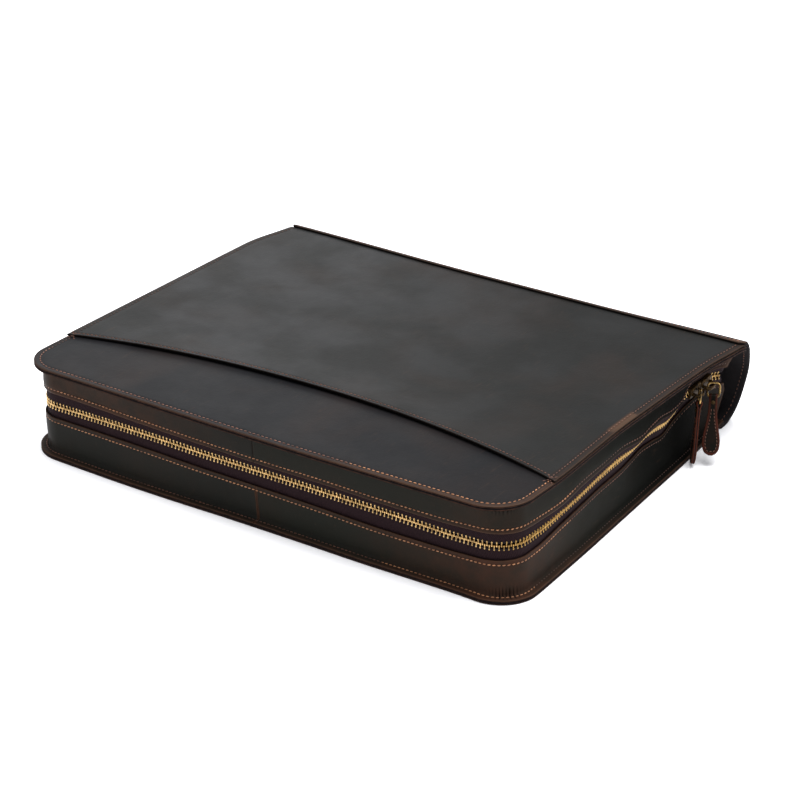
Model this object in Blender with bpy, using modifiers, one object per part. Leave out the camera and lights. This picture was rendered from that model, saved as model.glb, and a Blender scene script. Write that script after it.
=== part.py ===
"""Leather document case: a zip-round portfolio, closed, lying flat on its bottom cover.

Metres, +Z up. The zip runs round the left, front and right sides, and the spine is at +Y.
The case is first drawn square, with its front left seam edge at y = 0 and the floor at z = 0.
settle() then moves each point to where the soft leather lies. Leather and tape are open sheets
with a Solidify modifier, and the whole case hangs on one empty that puts its origin at the
middle of its box on the floor.
"""

import math
from collections import namedtuple

import bmesh
import bpy
from mathutils import Matrix, Vector

MM = 0.001

# Driving dimensions of the case
CASE_WIDTH = 360 * MM  # over the seam edges, left to right
CASE_DEPTH = 275 * MM  # front seam edge to the spine's lap
CASE_HEIGHT = 61.6 * MM  # floor to the upper face of the top cover
CORNER_RADIUS = 25 * MM
SEAM_FLANGE = 6.5 * MM  # seam edge to the middle of the gusset wall
GUSSET_BEND = 4 * MM  # height and width of the bend between flange and wall
GAP = 0.3 * MM  # clearance between pieces that touch

# Leather and cloth
COVER_LEATHER = 1.4 * MM
POCKET_LEATHER = 1.2 * MM
GUSSET_LEATHER = 1.3 * MM
SPINE_LEATHER = 1.6 * MM
TAPE_CLOTH = 1.0 * MM

# Pocket on the top cover
MOUTH_SIDE = 47 * MM  # front seam edge to the mouth, at the sides
MOUTH_SCOOP = 27 * MM  # how much further back the mouth is in the middle
MOUTH_LIFT = 1.4 * MM  # how far the mouth stands off the cover
MOUTH_FADE = 40 * MM  # how far back the lift reaches

# Spine
SPINE_LAP = 7.2 * MM  # how far the spine lies over both covers
SPINE_TURN_ROOM = 1.4 * MM  # the layers inside the lap end this far before it turns
SPINE_BULGE = 16 * MM  # how far the spine stands behind the covers
SPINE_CORNER = 3 * MM  # rounding of the lap's corners
GUSSET_NOTCH = 11 * MM  # how far the gussets' ends are cut back at the zip
NOTCH_BELOW = 16 * MM  # height over which the lower gussets' ends come back out
NOTCH_REACH = 80 * MM  # how far forward the cut-back eases in

# Zip
ZIP_ABOVE_MIDDLE = 4 * MM  # zip line above half of the case's height
TAPE_SHOWING = 8.5 * MM  # zip line to each gusset's edge
TAPE_WIDTH = 16.5 * MM  # zip line to the tape's hidden edge
CHAIN_WIDTH = 7.4 * MM
CHAIN_THICKNESS = 3.0 * MM

# Sliders, their rings and pulls
SLIDER_LENGTH = 12 * MM
SLIDER_WIDTH = 9.4 * MM
SLIDER_PLATE = 1.2 * MM
CHANNEL_CLEARANCE = 0.7 * MM  # chain to each plate
POST_LENGTH = 3.2 * MM
POST_WIDTH = 2.2 * MM
BRIDGE_LENGTH = 9.4 * MM
BRIDGE_WIDTH = 2.4 * MM
BRIDGE_BAR = 1.8 * MM
BRIDGE_ROOM = 4.2 * MM  # under the bar, for the ring's wire
BRIDGE_FOOT = 1.5 * MM
SLIDER_FROM_END = 21.5 * MM  # back slider's middle to the gusset's end
SLIDER_SPACING = 15.8 * MM
RING_WIRE = 1.4 * MM  # wire diameter
RING_WIDTH = 6.2 * MM  # inside
RING_HEIGHT = 7.8 * MM  # inside
PULL_LEATHER = 1.15 * MM
PULL_LAYER_GAP = 0.1 * MM  # between the folded strap's two layers
PULL_LENGTH = 37.6 * MM  # ring wire to tip
PULL_WIDTH = 11 * MM
RIVET_HEAD = 2.8 * MM  # diameter
RIVET_HEAD_THICKNESS = 0.7 * MM
RIVET_SHANK = 1.6 * MM  # diameter
RIVET_BELOW_RING = 4 * MM

# How far the leather has moved from the square shape
DRIFT = 10 * MM  # sideways shift of the seam edges, unit of the table below
FRONT_BOW = 2.2 * MM  # front edge pushed out in its middle
BACK_PULL = 3.4 * MM  # back edge drawn in, from its middle to the right
TOP_SAG = 1.6 * MM  # top cover sunk in its middle
BACK_DROOP = 5.0 * MM  # covers bent down under the spine's lap
BEND_LENGTH = 16 * MM  # length of that bend

# Steps of the meshes
SIDE_STEPS = 14
CORNER_STEPS = 6
FRONT_STEPS = 12
COVER_ROWS = 6
POCKET_COLUMNS = 16
SPINE_COLUMNS = 14
FOLD_STEPS = 6

# Levels of the sheets' middles above the floor
LAP_RISE = SPINE_LEATHER + GAP
BOTTOM_COVER_LEVEL = COVER_LEATHER / 2
LOWER_FLANGE_LEVEL = COVER_LEATHER + GAP + GUSSET_LEATHER / 2
UPPER_FLANGE_LEVEL = CASE_HEIGHT - COVER_LEATHER - GAP - GUSSET_LEATHER / 2
TOP_COVER_LEVEL = CASE_HEIGHT - COVER_LEATHER / 2
POCKET_LEVEL = CASE_HEIGHT + GAP + POCKET_LEATHER / 2
SPINE_TOP_LEVEL = CASE_HEIGHT + GAP + POCKET_LEATHER + GAP + SPINE_LEATHER / 2
SPINE_BOTTOM_LEVEL = SPINE_LEATHER / 2
ZIP_LEVEL = CASE_HEIGHT / 2 + ZIP_ABOVE_MIDDLE

# Places along the depth: the covers and the gussets bend under the lap and end inside the spine
BEND_START = CASE_DEPTH - BEND_LENGTH
COVER_END = CASE_DEPTH + SPINE_LAP - SPINE_TURN_ROOM
BEND_PLACES = (
    BEND_START,
    BEND_START + BEND_LENGTH / 3,
    BEND_START + BEND_LENGTH * 2 / 3,
    CASE_DEPTH,
    CASE_DEPTH + SPINE_CORNER,
    COVER_END,
)

# The chain and the tapes lie in one surface behind the gussets' walls
ZIP_DEPTH = GUSSET_LEATHER / 2 + GAP + TAPE_CLOTH / 2

# Shift of the seam edges as shares of DRIFT, by share of CASE_DEPTH from the front
Drift = namedtuple("Drift", "depth left_top right_top left_bottom right_bottom")
DRIFTS = (
    Drift(0.00, 0.00, 0.25, 0.06, 0.64),
    Drift(0.09, 0.00, 0.29, 0.04, 0.70),
    Drift(0.20, 0.00, 0.34, 0.00, 0.58),
    Drift(0.34, 0.00, 0.16, 0.00, 0.38),
    Drift(0.47, 0.00, 0.00, -0.05, 0.15),
    Drift(0.58, 0.00, 0.00, -0.12, -0.04),
    Drift(0.79, 0.00, 0.03, -0.30, -0.40),
    Drift(0.88, 0.07, 0.12, -0.42, -0.60),
    Drift(1.00, 0.72, 0.42, -0.60, -0.86),
    Drift(1.10, 0.80, 0.24, -0.65, -0.92),
)

# Front edges pushed out, as shares of FRONT_BOW, by share of the way across
Bow = namedtuple("Bow", "across top bottom")
BOWS = (
    Bow(0.00, 0.00, -0.50),
    Bow(0.06, 0.00, 0.00),
    Bow(0.15, 0.10, 0.50),
    Bow(0.24, 0.32, 0.80),
    Bow(0.35, 0.65, 0.70),
    Bow(0.45, 0.90, 0.35),
    Bow(0.60, 0.97, 0.25),
    Bow(0.72, 0.75, 0.35),
    Bow(0.83, 0.41, 0.00),
    Bow(0.90, 0.20, -0.10),
    Bow(0.96, 0.06, 0.30),
    Bow(1.00, 0.02, 0.60),
)

# The zip and the walls on the way round, by share of the way from the left back end:
# rise of the zip line (of CASE_HEIGHT), reach to each gusset's edge (of TAPE_SHOWING),
# push of the wall outwards (of SEAM_FLANGE) and turn of the zip to face down (of SEAM_FLANGE)
Stretch = namedtuple("Stretch", "way rise upper lower push turn")
STRETCHES = (
    Stretch(0.000, 0.110, 0.85, 0.90, -0.30, 0.00),
    Stretch(0.060, 0.110, 0.95, 0.95, -0.40, 0.00),
    Stretch(0.120, 0.050, 1.00, 0.95, -0.05, 0.10),
    Stretch(0.200, 0.010, 1.00, 0.95, 0.22, 0.05),
    Stretch(0.275, -0.010, 1.00, 0.92, 0.32, 0.00),
    Stretch(0.332, -0.008, 1.04, 0.93, 0.06, 0.00),
    Stretch(0.404, 0.012, 0.80, 1.04, 0.12, 0.00),
    Stretch(0.455, 0.003, 0.76, 1.10, 0.08, 0.00),
    Stretch(0.507, 0.008, 0.67, 1.16, 0.12, 0.00),
    Stretch(0.556, 0.005, 0.70, 1.24, 0.08, 0.00),
    Stretch(0.603, 0.000, 0.66, 1.30, 0.12, 0.00),
    Stretch(0.650, -0.022, 0.84, 1.12, 0.12, 0.00),
    Stretch(0.680, -0.016, 0.94, 1.02, 0.10, 0.00),
    Stretch(0.729, -0.024, 0.94, 0.94, 0.36, 0.20),
    Stretch(0.754, -0.013, 0.88, 0.92, 0.38, 0.50),
    Stretch(0.780, 0.008, 1.00, 0.90, 0.44, 0.60),
    Stretch(0.810, 0.024, 0.86, 0.90, 0.36, 0.55),
    Stretch(0.838, 0.032, 0.84, 0.92, 0.34, 0.50),
    Stretch(0.862, 0.008, 0.84, 0.92, 0.14, 1.00),
    Stretch(0.878, 0.030, 0.86, 0.94, 0.02, 1.00),
    Stretch(0.893, 0.022, 0.90, 0.94, -0.05, 0.75),
    Stretch(0.908, -0.003, 0.90, 0.94, -0.06, 0.70),
    Stretch(0.925, 0.015, 0.88, 0.94, -0.32, 0.80),
    Stretch(0.935, 0.062, 0.86, 0.94, -0.48, 0.40),
    Stretch(0.946, 0.104, 0.86, 0.94, -0.58, 0.05),
    Stretch(0.967, 0.129, 0.80, 0.94, -0.62, 0.00),
    Stretch(0.985, 0.142, 0.64, 0.94, -0.60, 0.00),
    Stretch(1.000, 0.115, 0.56, 0.94, 0.00, 0.00),
)

# Section of the spine behind the covers: shares of SPINE_BULGE and of the spine's height
Curl = namedtuple("Curl", "bulge height")
CURLS = (
    Curl(0.00, 1.000),
    Curl(0.13, 0.965),
    Curl(0.34, 0.885),
    Curl(0.58, 0.790),
    Curl(0.80, 0.685),
    Curl(0.94, 0.590),
    Curl(1.00, 0.470),
    Curl(1.00, 0.350),
    Curl(0.95, 0.220),
    Curl(0.80, 0.115),
    Curl(0.54, 0.045),
    Curl(0.26, 0.010),
    Curl(0.00, 0.000),
)

# Outline of a leather pull: shares of PULL_LENGTH from the ring, and of PULL_WIDTH
Outline = namedtuple("Outline", "down wide")
PULL_OUTLINE = (
    Outline(0.07, 0.48),
    Outline(0.25, 0.50),
    Outline(0.45, 0.66),
    Outline(0.65, 0.90),
    Outline(0.78, 1.00),
    Outline(0.90, 0.90),
    Outline(0.97, 0.58),
    Outline(1.00, 0.22),
)

# Turn of each slider's ring and way its pull leans, both about the vertical from backwards
# to the right, and height of the middle of the pull's tip above the floor
Hang = namedtuple("Hang", "name from_end turn heading tip")
HANGS = (
    Hang("front", SLIDER_FROM_END + SLIDER_SPACING, math.radians(145), math.radians(161), 1.9 * MM),
    Hang("back", SLIDER_FROM_END, math.radians(60), math.radians(153), 7.6 * MM),
)
MOST_LEAN = math.radians(60)

# Colours (linear), roughness and metallic value of each finish
FINISHES = {
    "waxed_leather": ((0.030, 0.026, 0.023, 1.0), 0.50, 0.0),
    "pocket_leather": ((0.034, 0.029, 0.025, 1.0), 0.50, 0.0),
    "gusset_leather": ((0.040, 0.028, 0.021, 1.0), 0.55, 0.0),
    "spine_leather": ((0.036, 0.027, 0.021, 1.0), 0.52, 0.0),
    "pull_leather": ((0.110, 0.030, 0.022, 1.0), 0.55, 0.0),
    "zip_tape_cloth": ((0.035, 0.018, 0.024, 1.0), 0.90, 0.0),
    "zip_brass": ((0.560, 0.370, 0.130, 1.0), 0.32, 1.0),
    "antique_brass": ((0.330, 0.230, 0.100, 1.0), 0.38, 1.0),
}


def ease(value):
    """A share from 0 to 1 with level ends."""
    value = min(max(value, 0.0), 1.0)
    return value * value * (3.0 - 2.0 * value)


def read_table(rows, at):
    """The row at a value of the first column, on a smooth curve through all rows."""
    starts = [row[0] for row in rows]
    at = min(max(at, starts[0]), starts[-1])
    last = len(rows) - 2
    index = min(sum(1 for start in starts[1:] if start < at), last)
    low, high = rows[index], rows[index + 1]
    before, after = rows[max(index - 1, 0)], rows[min(index + 2, last + 1)]
    span = high[0] - low[0]
    share = (at - low[0]) / span
    values = []
    for column in range(1, len(low)):
        slope_low = span * (high[column] - before[column]) / (high[0] - before[0])
        slope_high = span * (after[column] - low[column]) / (after[0] - low[0])
        rest = 1.0 - share
        values.append(
            rest * rest * (1 + 2 * share) * low[column]
            + share * share * (3 - 2 * share) * high[column]
            + share * rest * (rest * slope_low - share * slope_high)
        )
    return type(low)(at, *values)


def settle(point, on_lap=True):
    """Moves a point of the square case to where the soft leather lies."""
    x, y, z = point
    level = (z - LOWER_FLANGE_LEVEL) / (UPPER_FLANGE_LEVEL - LOWER_FLANGE_LEVEL)
    level = min(max(level, 0.0), 1.0)
    across = x / CASE_WIDTH + 0.5
    depth = y / CASE_DEPTH
    drift = read_table(DRIFTS, depth)
    left = drift.left_bottom + (drift.left_top - drift.left_bottom) * level
    right = drift.right_bottom + (drift.right_top - drift.right_bottom) * level
    edge = read_table(BOWS, across)
    bow = FRONT_BOW * (edge.bottom + (edge.top - edge.bottom) * level) * (1.0 - ease(depth / 0.4))
    pull = BACK_PULL * ease(across / 0.45) * ease((depth - 0.75) / 0.25)
    sag = TOP_SAG * math.sin(math.pi * min(max(across, 0.0), 1.0)) * math.sin(math.pi * min(depth, 1.0))
    bend = ease((y - CASE_DEPTH) / BEND_LENGTH + 0.15)
    droop = BACK_DROOP * bend * (1.0 - 0.4 * ease((across - 0.7) / 0.3))
    lift = LAP_RISE * ease((y - CASE_DEPTH + BEND_LENGTH) / (BEND_LENGTH - GAP)) * (1.0 - level) ** 2
    moved_x = x + DRIFT * (left + (right - left) * across)
    moved_z = z - (sag + droop) * level * level
    if on_lap:
        moved_z += lift
    return Vector((moved_x, y - bow - pull, moved_z))


def way_round():
    """Stations on the seam edge: (share of the way, edge point, outward normal)."""
    straight = CASE_WIDTH / 2 - CORNER_RADIUS
    depths = [CORNER_RADIUS + (BEND_START - CORNER_RADIUS) * step / SIDE_STEPS for step in range(SIDE_STEPS)]
    depths += BEND_PLACES
    places = []
    for y in reversed(depths[1:]):
        places.append((Vector((-CASE_WIDTH / 2, y)), Vector((-1.0, 0.0))))
    for step in range(CORNER_STEPS):
        angle = math.pi + math.pi / 2 * step / CORNER_STEPS
        normal = Vector((math.cos(angle), math.sin(angle)))
        places.append((Vector((-straight, CORNER_RADIUS)) + normal * CORNER_RADIUS, normal))
    for step in range(FRONT_STEPS):
        x = straight * (2 * step / FRONT_STEPS - 1)
        places.append((Vector((x, 0.0)), Vector((0.0, -1.0))))
    for step in range(CORNER_STEPS):
        angle = -math.pi / 2 + math.pi / 2 * step / CORNER_STEPS
        normal = Vector((math.cos(angle), math.sin(angle)))
        places.append((Vector((straight, CORNER_RADIUS)) + normal * CORNER_RADIUS, normal))
    for y in depths:
        places.append((Vector((CASE_WIDTH / 2, y)), Vector((1.0, 0.0))))
    lengths = [0.0]
    for (near, _), (far, _) in zip(places, places[1:]):
        lengths.append(lengths[-1] + (far - near).length)
    return [(length / lengths[-1], edge, normal) for length, (edge, normal) in zip(lengths, places)]


def side_length():
    """Length of the way round, as way_round() measures it."""
    side = COVER_END - CORNER_RADIUS
    chord = 2 * CORNER_RADIUS * math.sin(math.pi / 4 / CORNER_STEPS)
    return 2 * side + 2 * CORNER_STEPS * chord + CASE_WIDTH - 2 * CORNER_RADIUS


def right_side_station(from_end):
    """The station on the right side at a distance from the gusset's end."""
    edge = Vector((CASE_WIDTH / 2, COVER_END - from_end))
    return 1.0 - from_end / side_length(), edge, Vector((1.0, 0.0))


def zip_height(way):
    """Height of the zip's middle line at a share of the way round."""
    return ZIP_LEVEL + CASE_HEIGHT * read_table(STRETCHES, way).rise


def wall_inset(way, height):
    """Distance of the gusset wall's middle from the seam edge, at a height."""
    stretch = read_table(STRETCHES, way)
    middle = zip_height(way)
    arch = math.sin(math.pi * height / CASE_HEIGHT)
    room = UPPER_FLANGE_LEVEL - middle if height > middle else middle - LOWER_FLANGE_LEVEL
    share = min(max((height - middle) / room, -1.0), 1.0)
    swing = stretch.turn * math.sin(math.pi * share) * (1.0 - abs(share))
    return SEAM_FLANGE * (1.0 - stretch.push * arch - swing)


def side_point(station, inset, height):
    """A settled point at an inset from the seam edge, with the gussets' ends cut back at the zip."""
    _, edge, normal = station
    place = edge - normal * inset
    fade = ease((place.y - COVER_END + NOTCH_REACH) / NOTCH_REACH)
    zip_end = ZIP_LEVEL + CASE_HEIGHT * STRETCHES[-1].rise
    if height > zip_end:
        nearness = 1.0 - (height - zip_end) / (UPPER_FLANGE_LEVEL - zip_end)
    else:
        nearness = 1.0 - (zip_end - height) / NOTCH_BELOW
    back = place.y - GUSSET_NOTCH * fade * max(nearness, 0.0)
    return settle((place.x, back, height))


def wall_point(station, height, behind=0.0):
    """A settled point on the gusset wall's middle surface, or behind it along its normal."""
    way = station[0]
    step = 0.5 * MM
    slope = (wall_inset(way, height + step) - wall_inset(way, height - step)) / (2 * step)
    scale = behind / math.sqrt(1.0 + slope * slope)
    return side_point(station, wall_inset(way, height) + scale, height - slope * scale)


def make_finish(name):
    """A Principled material from the table of finishes."""
    colour, roughness, metallic = FINISHES[name]
    material = bpy.data.materials.new(name)
    material.use_nodes = True
    shader = material.node_tree.nodes["Principled BSDF"]
    shader.inputs["Base Color"].default_value = colour
    shader.inputs["Roughness"].default_value = roughness
    shader.inputs["Metallic"].default_value = metallic
    material.diffuse_color = colour
    return material


class Case:
    """Holds the collections, the origin empty and the finishes while the case is built."""

    def __init__(self):
        self.pieces = bpy.data.collections.new("document_case")
        self.cutters = bpy.data.collections.new("cutters")
        bpy.context.scene.collection.children.link(self.pieces)
        bpy.context.scene.collection.children.link(self.cutters)
        self.origin = bpy.data.objects.new("case_origin", None)
        self.pieces.objects.link(self.origin)
        self.finishes = {name: make_finish(name) for name in FINISHES}

    def add(self, name, data, finish):
        """Adds a piece to the case with its own copy of a finish."""
        piece = bpy.data.objects.new(name, data)
        material = self.finishes[finish].copy()
        material.name = name + "_" + finish
        data.materials.append(material)
        piece.parent = self.origin
        self.pieces.objects.link(piece)
        return piece

    def add_cutter(self, name, data):
        """Adds a hidden shape that a Boolean modifier reads."""
        cutter = bpy.data.objects.new(name, data)
        cutter.hide_render = True
        cutter.display_type = "WIRE"
        cutter.parent = self.origin
        self.cutters.objects.link(cutter)
        return cutter

    def sheet(self, name, rows, thickness, finish):
        """A grid laid through rows of points and thickened evenly to both sides."""
        across = len(rows[0]) - 1
        along = len(rows) - 1
        shape = bmesh.new()
        bmesh.ops.create_grid(shape, x_segments=across, y_segments=along, size=1.0)
        for vertex in shape.verts:
            column = round((vertex.co.x + 1.0) / 2.0 * across)
            row = round((vertex.co.y + 1.0) / 2.0 * along)
            vertex.co = rows[row][column]
        mesh = bpy.data.meshes.new(name)
        shape.to_mesh(mesh)
        shape.free()
        mesh.shade_smooth()
        piece = self.add(name, mesh, finish)
        wall = piece.modifiers.new("thickness", "SOLIDIFY")
        wall.thickness = thickness
        wall.offset = 0.0
        wall.use_even_offset = True
        return piece

    def stand_on_floor(self):
        """Moves the case so that the middle of its box on the floor is the world origin."""
        bpy.context.view_layer.update()
        graph = bpy.context.evaluated_depsgraph_get()
        corners = []
        for piece in self.pieces.objects:
            if piece.type == "EMPTY":
                continue
            mesh = piece.evaluated_get(graph).to_mesh()
            corners += [piece.matrix_world @ vertex.co for vertex in mesh.vertices]
            piece.evaluated_get(graph).to_mesh_clear()
        low = Vector([min(corner[axis] for corner in corners) for axis in range(3)])
        high = Vector([max(corner[axis] for corner in corners) for axis in range(3)])
        self.origin.location = -Vector(((low.x + high.x) / 2, (low.y + high.y) / 2, low.z))


def cover_rows(level):
    """Rows of points of a cover: front edge to back, each from left to right."""
    straight = CASE_WIDTH / 2 - CORNER_RADIUS
    fronts = []
    for step in range(CORNER_STEPS):
        angle = math.pi + math.pi / 2 * step / CORNER_STEPS
        fronts.append((CORNER_RADIUS * math.cos(angle) - straight, CORNER_RADIUS * (1 + math.sin(angle))))
    for step in range(FRONT_STEPS + 1):
        fronts.append((straight * (2 * step / FRONT_STEPS - 1), 0.0))
    fronts += [(-x, y) for x, y in reversed(fronts[:CORNER_STEPS])]
    rows = []
    for step in range(COVER_ROWS):
        share = step / COVER_ROWS
        rows.append([settle((x, front + (BEND_START - front) * share, level)) for x, front in fronts])
    rows += [[settle((x, y, level)) for x, _ in fronts] for y in BEND_PLACES]
    return rows


def build_covers(case):
    """Top and bottom covers, one sheet each."""
    case.sheet("top_cover", cover_rows(TOP_COVER_LEVEL), COVER_LEATHER, "waxed_leather")
    case.sheet("bottom_cover", cover_rows(BOTTOM_COVER_LEVEL), COVER_LEATHER, "waxed_leather")


def build_pocket(case):
    """Second panel over the top cover, open at its scooped front edge."""
    rows = []
    for step in range(COVER_ROWS + len(BEND_PLACES)):
        row = []
        for column in range(POCKET_COLUMNS + 1):
            side = 2 * column / POCKET_COLUMNS - 1
            mouth = MOUTH_SIDE + MOUTH_SCOOP * (1 - side * side)
            y = mouth + (BEND_START - mouth) * (step / COVER_ROWS) ** 1.5
            if step >= COVER_ROWS:
                y = BEND_PLACES[step - COVER_ROWS]
            lift = MOUTH_LIFT * (1 - side**4) * (1 - ease((y - mouth) / MOUTH_FADE))
            point = settle((side * CASE_WIDTH / 2, y, POCKET_LEVEL))
            row.append(point + Vector((0.0, 0.0, lift)))
        rows.append(row)
    case.sheet("pocket_panel", rows, POCKET_LEATHER, "pocket_leather")


def build_spine(case):
    """Strip that laps over both covers and bulges out behind them, open at both ends."""
    height = SPINE_TOP_LEVEL - SPINE_BOTTOM_LEVEL
    back = CASE_DEPTH + SPINE_LAP
    section = [(CASE_DEPTH, SPINE_TOP_LEVEL, SPINE_CORNER)]
    section += [(CASE_DEPTH + SPINE_CORNER, SPINE_TOP_LEVEL, 0.0)]
    section += [
        (back + SPINE_BULGE * curl.bulge, SPINE_BOTTOM_LEVEL + height * curl.height, 0.0) for curl in CURLS
    ]
    section += [(CASE_DEPTH + SPINE_CORNER, SPINE_BOTTOM_LEVEL, 0.0)]
    section += [(CASE_DEPTH, SPINE_BOTTOM_LEVEL, SPINE_CORNER)]
    rows = []
    for y, z, trim in section:
        half = CASE_WIDTH / 2 - trim
        row = []
        for column in range(SPINE_COLUMNS + 1):
            x = half * (2 * column / SPINE_COLUMNS - 1)
            row.append(settle((x, y, z), on_lap=False))
        rows.append(row)
    case.sheet("spine_panel", rows, SPINE_LEATHER, "spine_leather")


def wall_heights(way, upper):
    """Heights on a wall: bend, tape's hidden edge, halfway, gusset's edge, chain's side."""
    stretch = read_table(STRETCHES, way)
    middle = zip_height(way)
    if upper:
        foot = UPPER_FLANGE_LEVEL - GUSSET_BEND
        hidden = min(middle + TAPE_WIDTH, foot - GUSSET_BEND / 4)
        edge = middle + stretch.upper * TAPE_SHOWING
        return foot, hidden, (hidden + edge) / 2, edge, middle + CHAIN_WIDTH / 2 + GAP
    foot = LOWER_FLANGE_LEVEL + GUSSET_BEND
    hidden = max(middle - TAPE_WIDTH, foot + GUSSET_BEND / 4)
    edge = middle - stretch.lower * TAPE_SHOWING
    return foot, hidden, (hidden + edge) / 2, edge, middle - CHAIN_WIDTH / 2 - GAP


def gusset_row(station, upper):
    """Points of one gusset's section: flange edge, bend, wall, edge at the zip."""
    heights = wall_heights(station[0], upper)
    flange = UPPER_FLANGE_LEVEL if upper else LOWER_FLANGE_LEVEL
    corner = wall_inset(station[0], heights[0])
    row = [
        side_point(station, 0.0, flange),
        side_point(station, corner - GUSSET_BEND, flange),
        side_point(station, corner - GUSSET_BEND * 0.3, flange + (heights[0] - flange) * 0.3),
    ]
    row += [wall_point(station, height) for height in heights[:4]]
    return row


def build_gussets(case):
    """Walls above and below the zip, each of two strips that meet in the middle of the front."""
    stations = way_round()
    middle = len(stations) // 2
    edge = stations[middle][1]
    normal = stations[middle][2]
    half_gap = GAP / 2
    way_gap = half_gap / side_length()
    left_end = (stations[middle][0] - way_gap, edge - Vector((half_gap, 0.0)), normal)
    right_end = (stations[middle][0] + way_gap, edge + Vector((half_gap, 0.0)), normal)
    halves = {"left": stations[:middle] + [left_end], "right": [right_end] + stations[middle + 1 :]}
    for side, run in halves.items():
        for name, upper in (("upper", True), ("lower", False)):
            rows = [gusset_row(station, upper) for station in run]
            case.sheet(f"{name}_gusset_{side}", rows, GUSSET_LEATHER, "gusset_leather")


def build_tapes(case):
    """Cloth tapes from the chain's sides to behind the gussets."""
    for name, upper in (("upper", True), ("lower", False)):
        rows = []
        for station in way_round():
            heights = wall_heights(station[0], upper)[1:]
            rows.append([wall_point(station, height, ZIP_DEPTH) for height in heights])
        case.sheet(f"{name}_zip_tape", rows, TAPE_CLOTH, "zip_tape_cloth")


def box_mesh(name, size, centre):
    """A box of a size about a centre."""
    shape = bmesh.new()
    bmesh.ops.create_cube(shape, size=1.0)
    bmesh.ops.scale(shape, vec=size, verts=shape.verts)
    bmesh.ops.translate(shape, vec=centre, verts=shape.verts)
    mesh = bpy.data.meshes.new(name)
    shape.to_mesh(mesh)
    shape.free()
    return mesh


def slider_frame(from_end):
    """Frame on the zip at a slider: x the way of the zip, y up across it, z outwards."""
    half = SLIDER_LENGTH / 2
    points = []
    for offset in (half, 0.0, -half):
        station = right_side_station(from_end + offset)
        points.append(wall_point(station, zip_height(station[0]), ZIP_DEPTH))
    along = (points[2] - points[0]).normalized()
    station = right_side_station(from_end)
    middle = zip_height(station[0])
    raised = wall_point(station, middle + CHAIN_WIDTH / 2, ZIP_DEPTH)
    lowered = wall_point(station, middle - CHAIN_WIDTH / 2, ZIP_DEPTH)
    up = raised - lowered
    up = (up - along * up.dot(along)).normalized()
    out = along.cross(up)
    frame = Matrix((along, up, out)).transposed().to_4x4()
    frame.translation = (points[0] + points[2]) / 2
    return frame


def cut(piece, cutter, operation="DIFFERENCE"):
    """Adds an exact Boolean modifier to a piece."""
    modifier = piece.modifiers.new(operation.lower(), "BOOLEAN")
    modifier.operation = operation
    modifier.object = cutter
    modifier.solver = "EXACT"


def build_chain(case):
    """The closed chain, with a hole for each slider's post."""
    rows = []
    for station in way_round():
        middle = zip_height(station[0])
        half = CHAIN_WIDTH / 2
        rows.append([wall_point(station, middle + half * side, ZIP_DEPTH) for side in (-1.0, 1.0)])
    chain = case.sheet("zip_chain", rows, CHAIN_THICKNESS, "zip_brass")
    for hang in HANGS:
        hole = (POST_LENGTH + 2 * GAP, POST_WIDTH + 2 * GAP, 3 * CHAIN_THICKNESS)
        cutter = case.add_cutter(f"post_hole_{hang.name}", box_mesh("post_hole", hole, (0, 0, 0)))
        cutter.matrix_local = slider_frame(hang.from_end)
        cut(chain, cutter)


def build_slider(case, hang):
    """Two plates joined by a post through the chain, with a bridge for the ring."""
    frame = slider_frame(hang.from_end)
    inner = CHAIN_THICKNESS / 2 + CHANNEL_CLEARANCE
    outer = inner + SLIDER_PLATE
    plate = (SLIDER_LENGTH, SLIDER_WIDTH, SLIDER_PLATE)
    mesh = box_mesh("slider_plate", plate, (0, 0, inner + SLIDER_PLATE / 2))
    slider = case.add(f"slider_{hang.name}", mesh, "antique_brass")
    room = BRIDGE_LENGTH - 2 * BRIDGE_FOOT
    post = (POST_LENGTH, POST_WIDTH, 2 * outer)
    bridge = (BRIDGE_LENGTH, BRIDGE_WIDTH, BRIDGE_ROOM + BRIDGE_BAR + SLIDER_PLATE / 2)
    bridge_middle = outer + (BRIDGE_ROOM + BRIDGE_BAR - SLIDER_PLATE / 2) / 2
    joined = (
        ("back_plate", plate, -inner - SLIDER_PLATE / 2),
        ("post", post, 0.0),
        ("bridge", bridge, bridge_middle),
    )
    for name, size, height in joined:
        tool = case.add_cutter(f"{name}_{hang.name}", box_mesh(name, size, (0, 0, height)))
        tool.matrix_local = frame
        cut(slider, tool, "UNION")
    hole = box_mesh("bridge_hole", (room, 2 * BRIDGE_WIDTH, BRIDGE_ROOM), (0, 0, outer + BRIDGE_ROOM / 2))
    tool = case.add_cutter(f"bridge_hole_{hang.name}", hole)
    tool.matrix_local = frame
    cut(slider, tool)
    slider.matrix_local = frame
    return frame


def hang_ring(frame, hang, lean):
    """Frame of a ring that leans from the vertical: x across the strap, y up it, z its face."""
    heading = Vector((math.sin(hang.heading), math.cos(hang.heading), 0.0))
    down = heading * math.sin(lean) - Vector((0.0, 0.0, math.cos(lean)))
    turned = Vector((math.sin(hang.turn), math.cos(hang.turn), 0.0))
    across = (turned - down * turned.dot(down)).normalized()
    room = BRIDGE_LENGTH / 2 - BRIDGE_FOOT - GAP - RING_WIRE / 2
    plate_face = CHAIN_THICKNESS / 2 + CHANNEL_CLEARANCE + SLIDER_PLATE
    leg_along = math.copysign(room * 0.4, -math.cos(hang.turn))
    leg = frame @ Vector((leg_along, 0.0, plate_face + BRIDGE_ROOM / 2))
    above_bar = BRIDGE_WIDTH / 2 + GAP + RING_WIRE
    result = Matrix((across, -down, across.cross(-down))).transposed().to_4x4()
    result.translation = leg + across * (RING_WIDTH + RING_WIRE) / 2
    result.translation += down * (RING_HEIGHT / 2 + RING_WIRE - above_bar)
    return result


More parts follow.
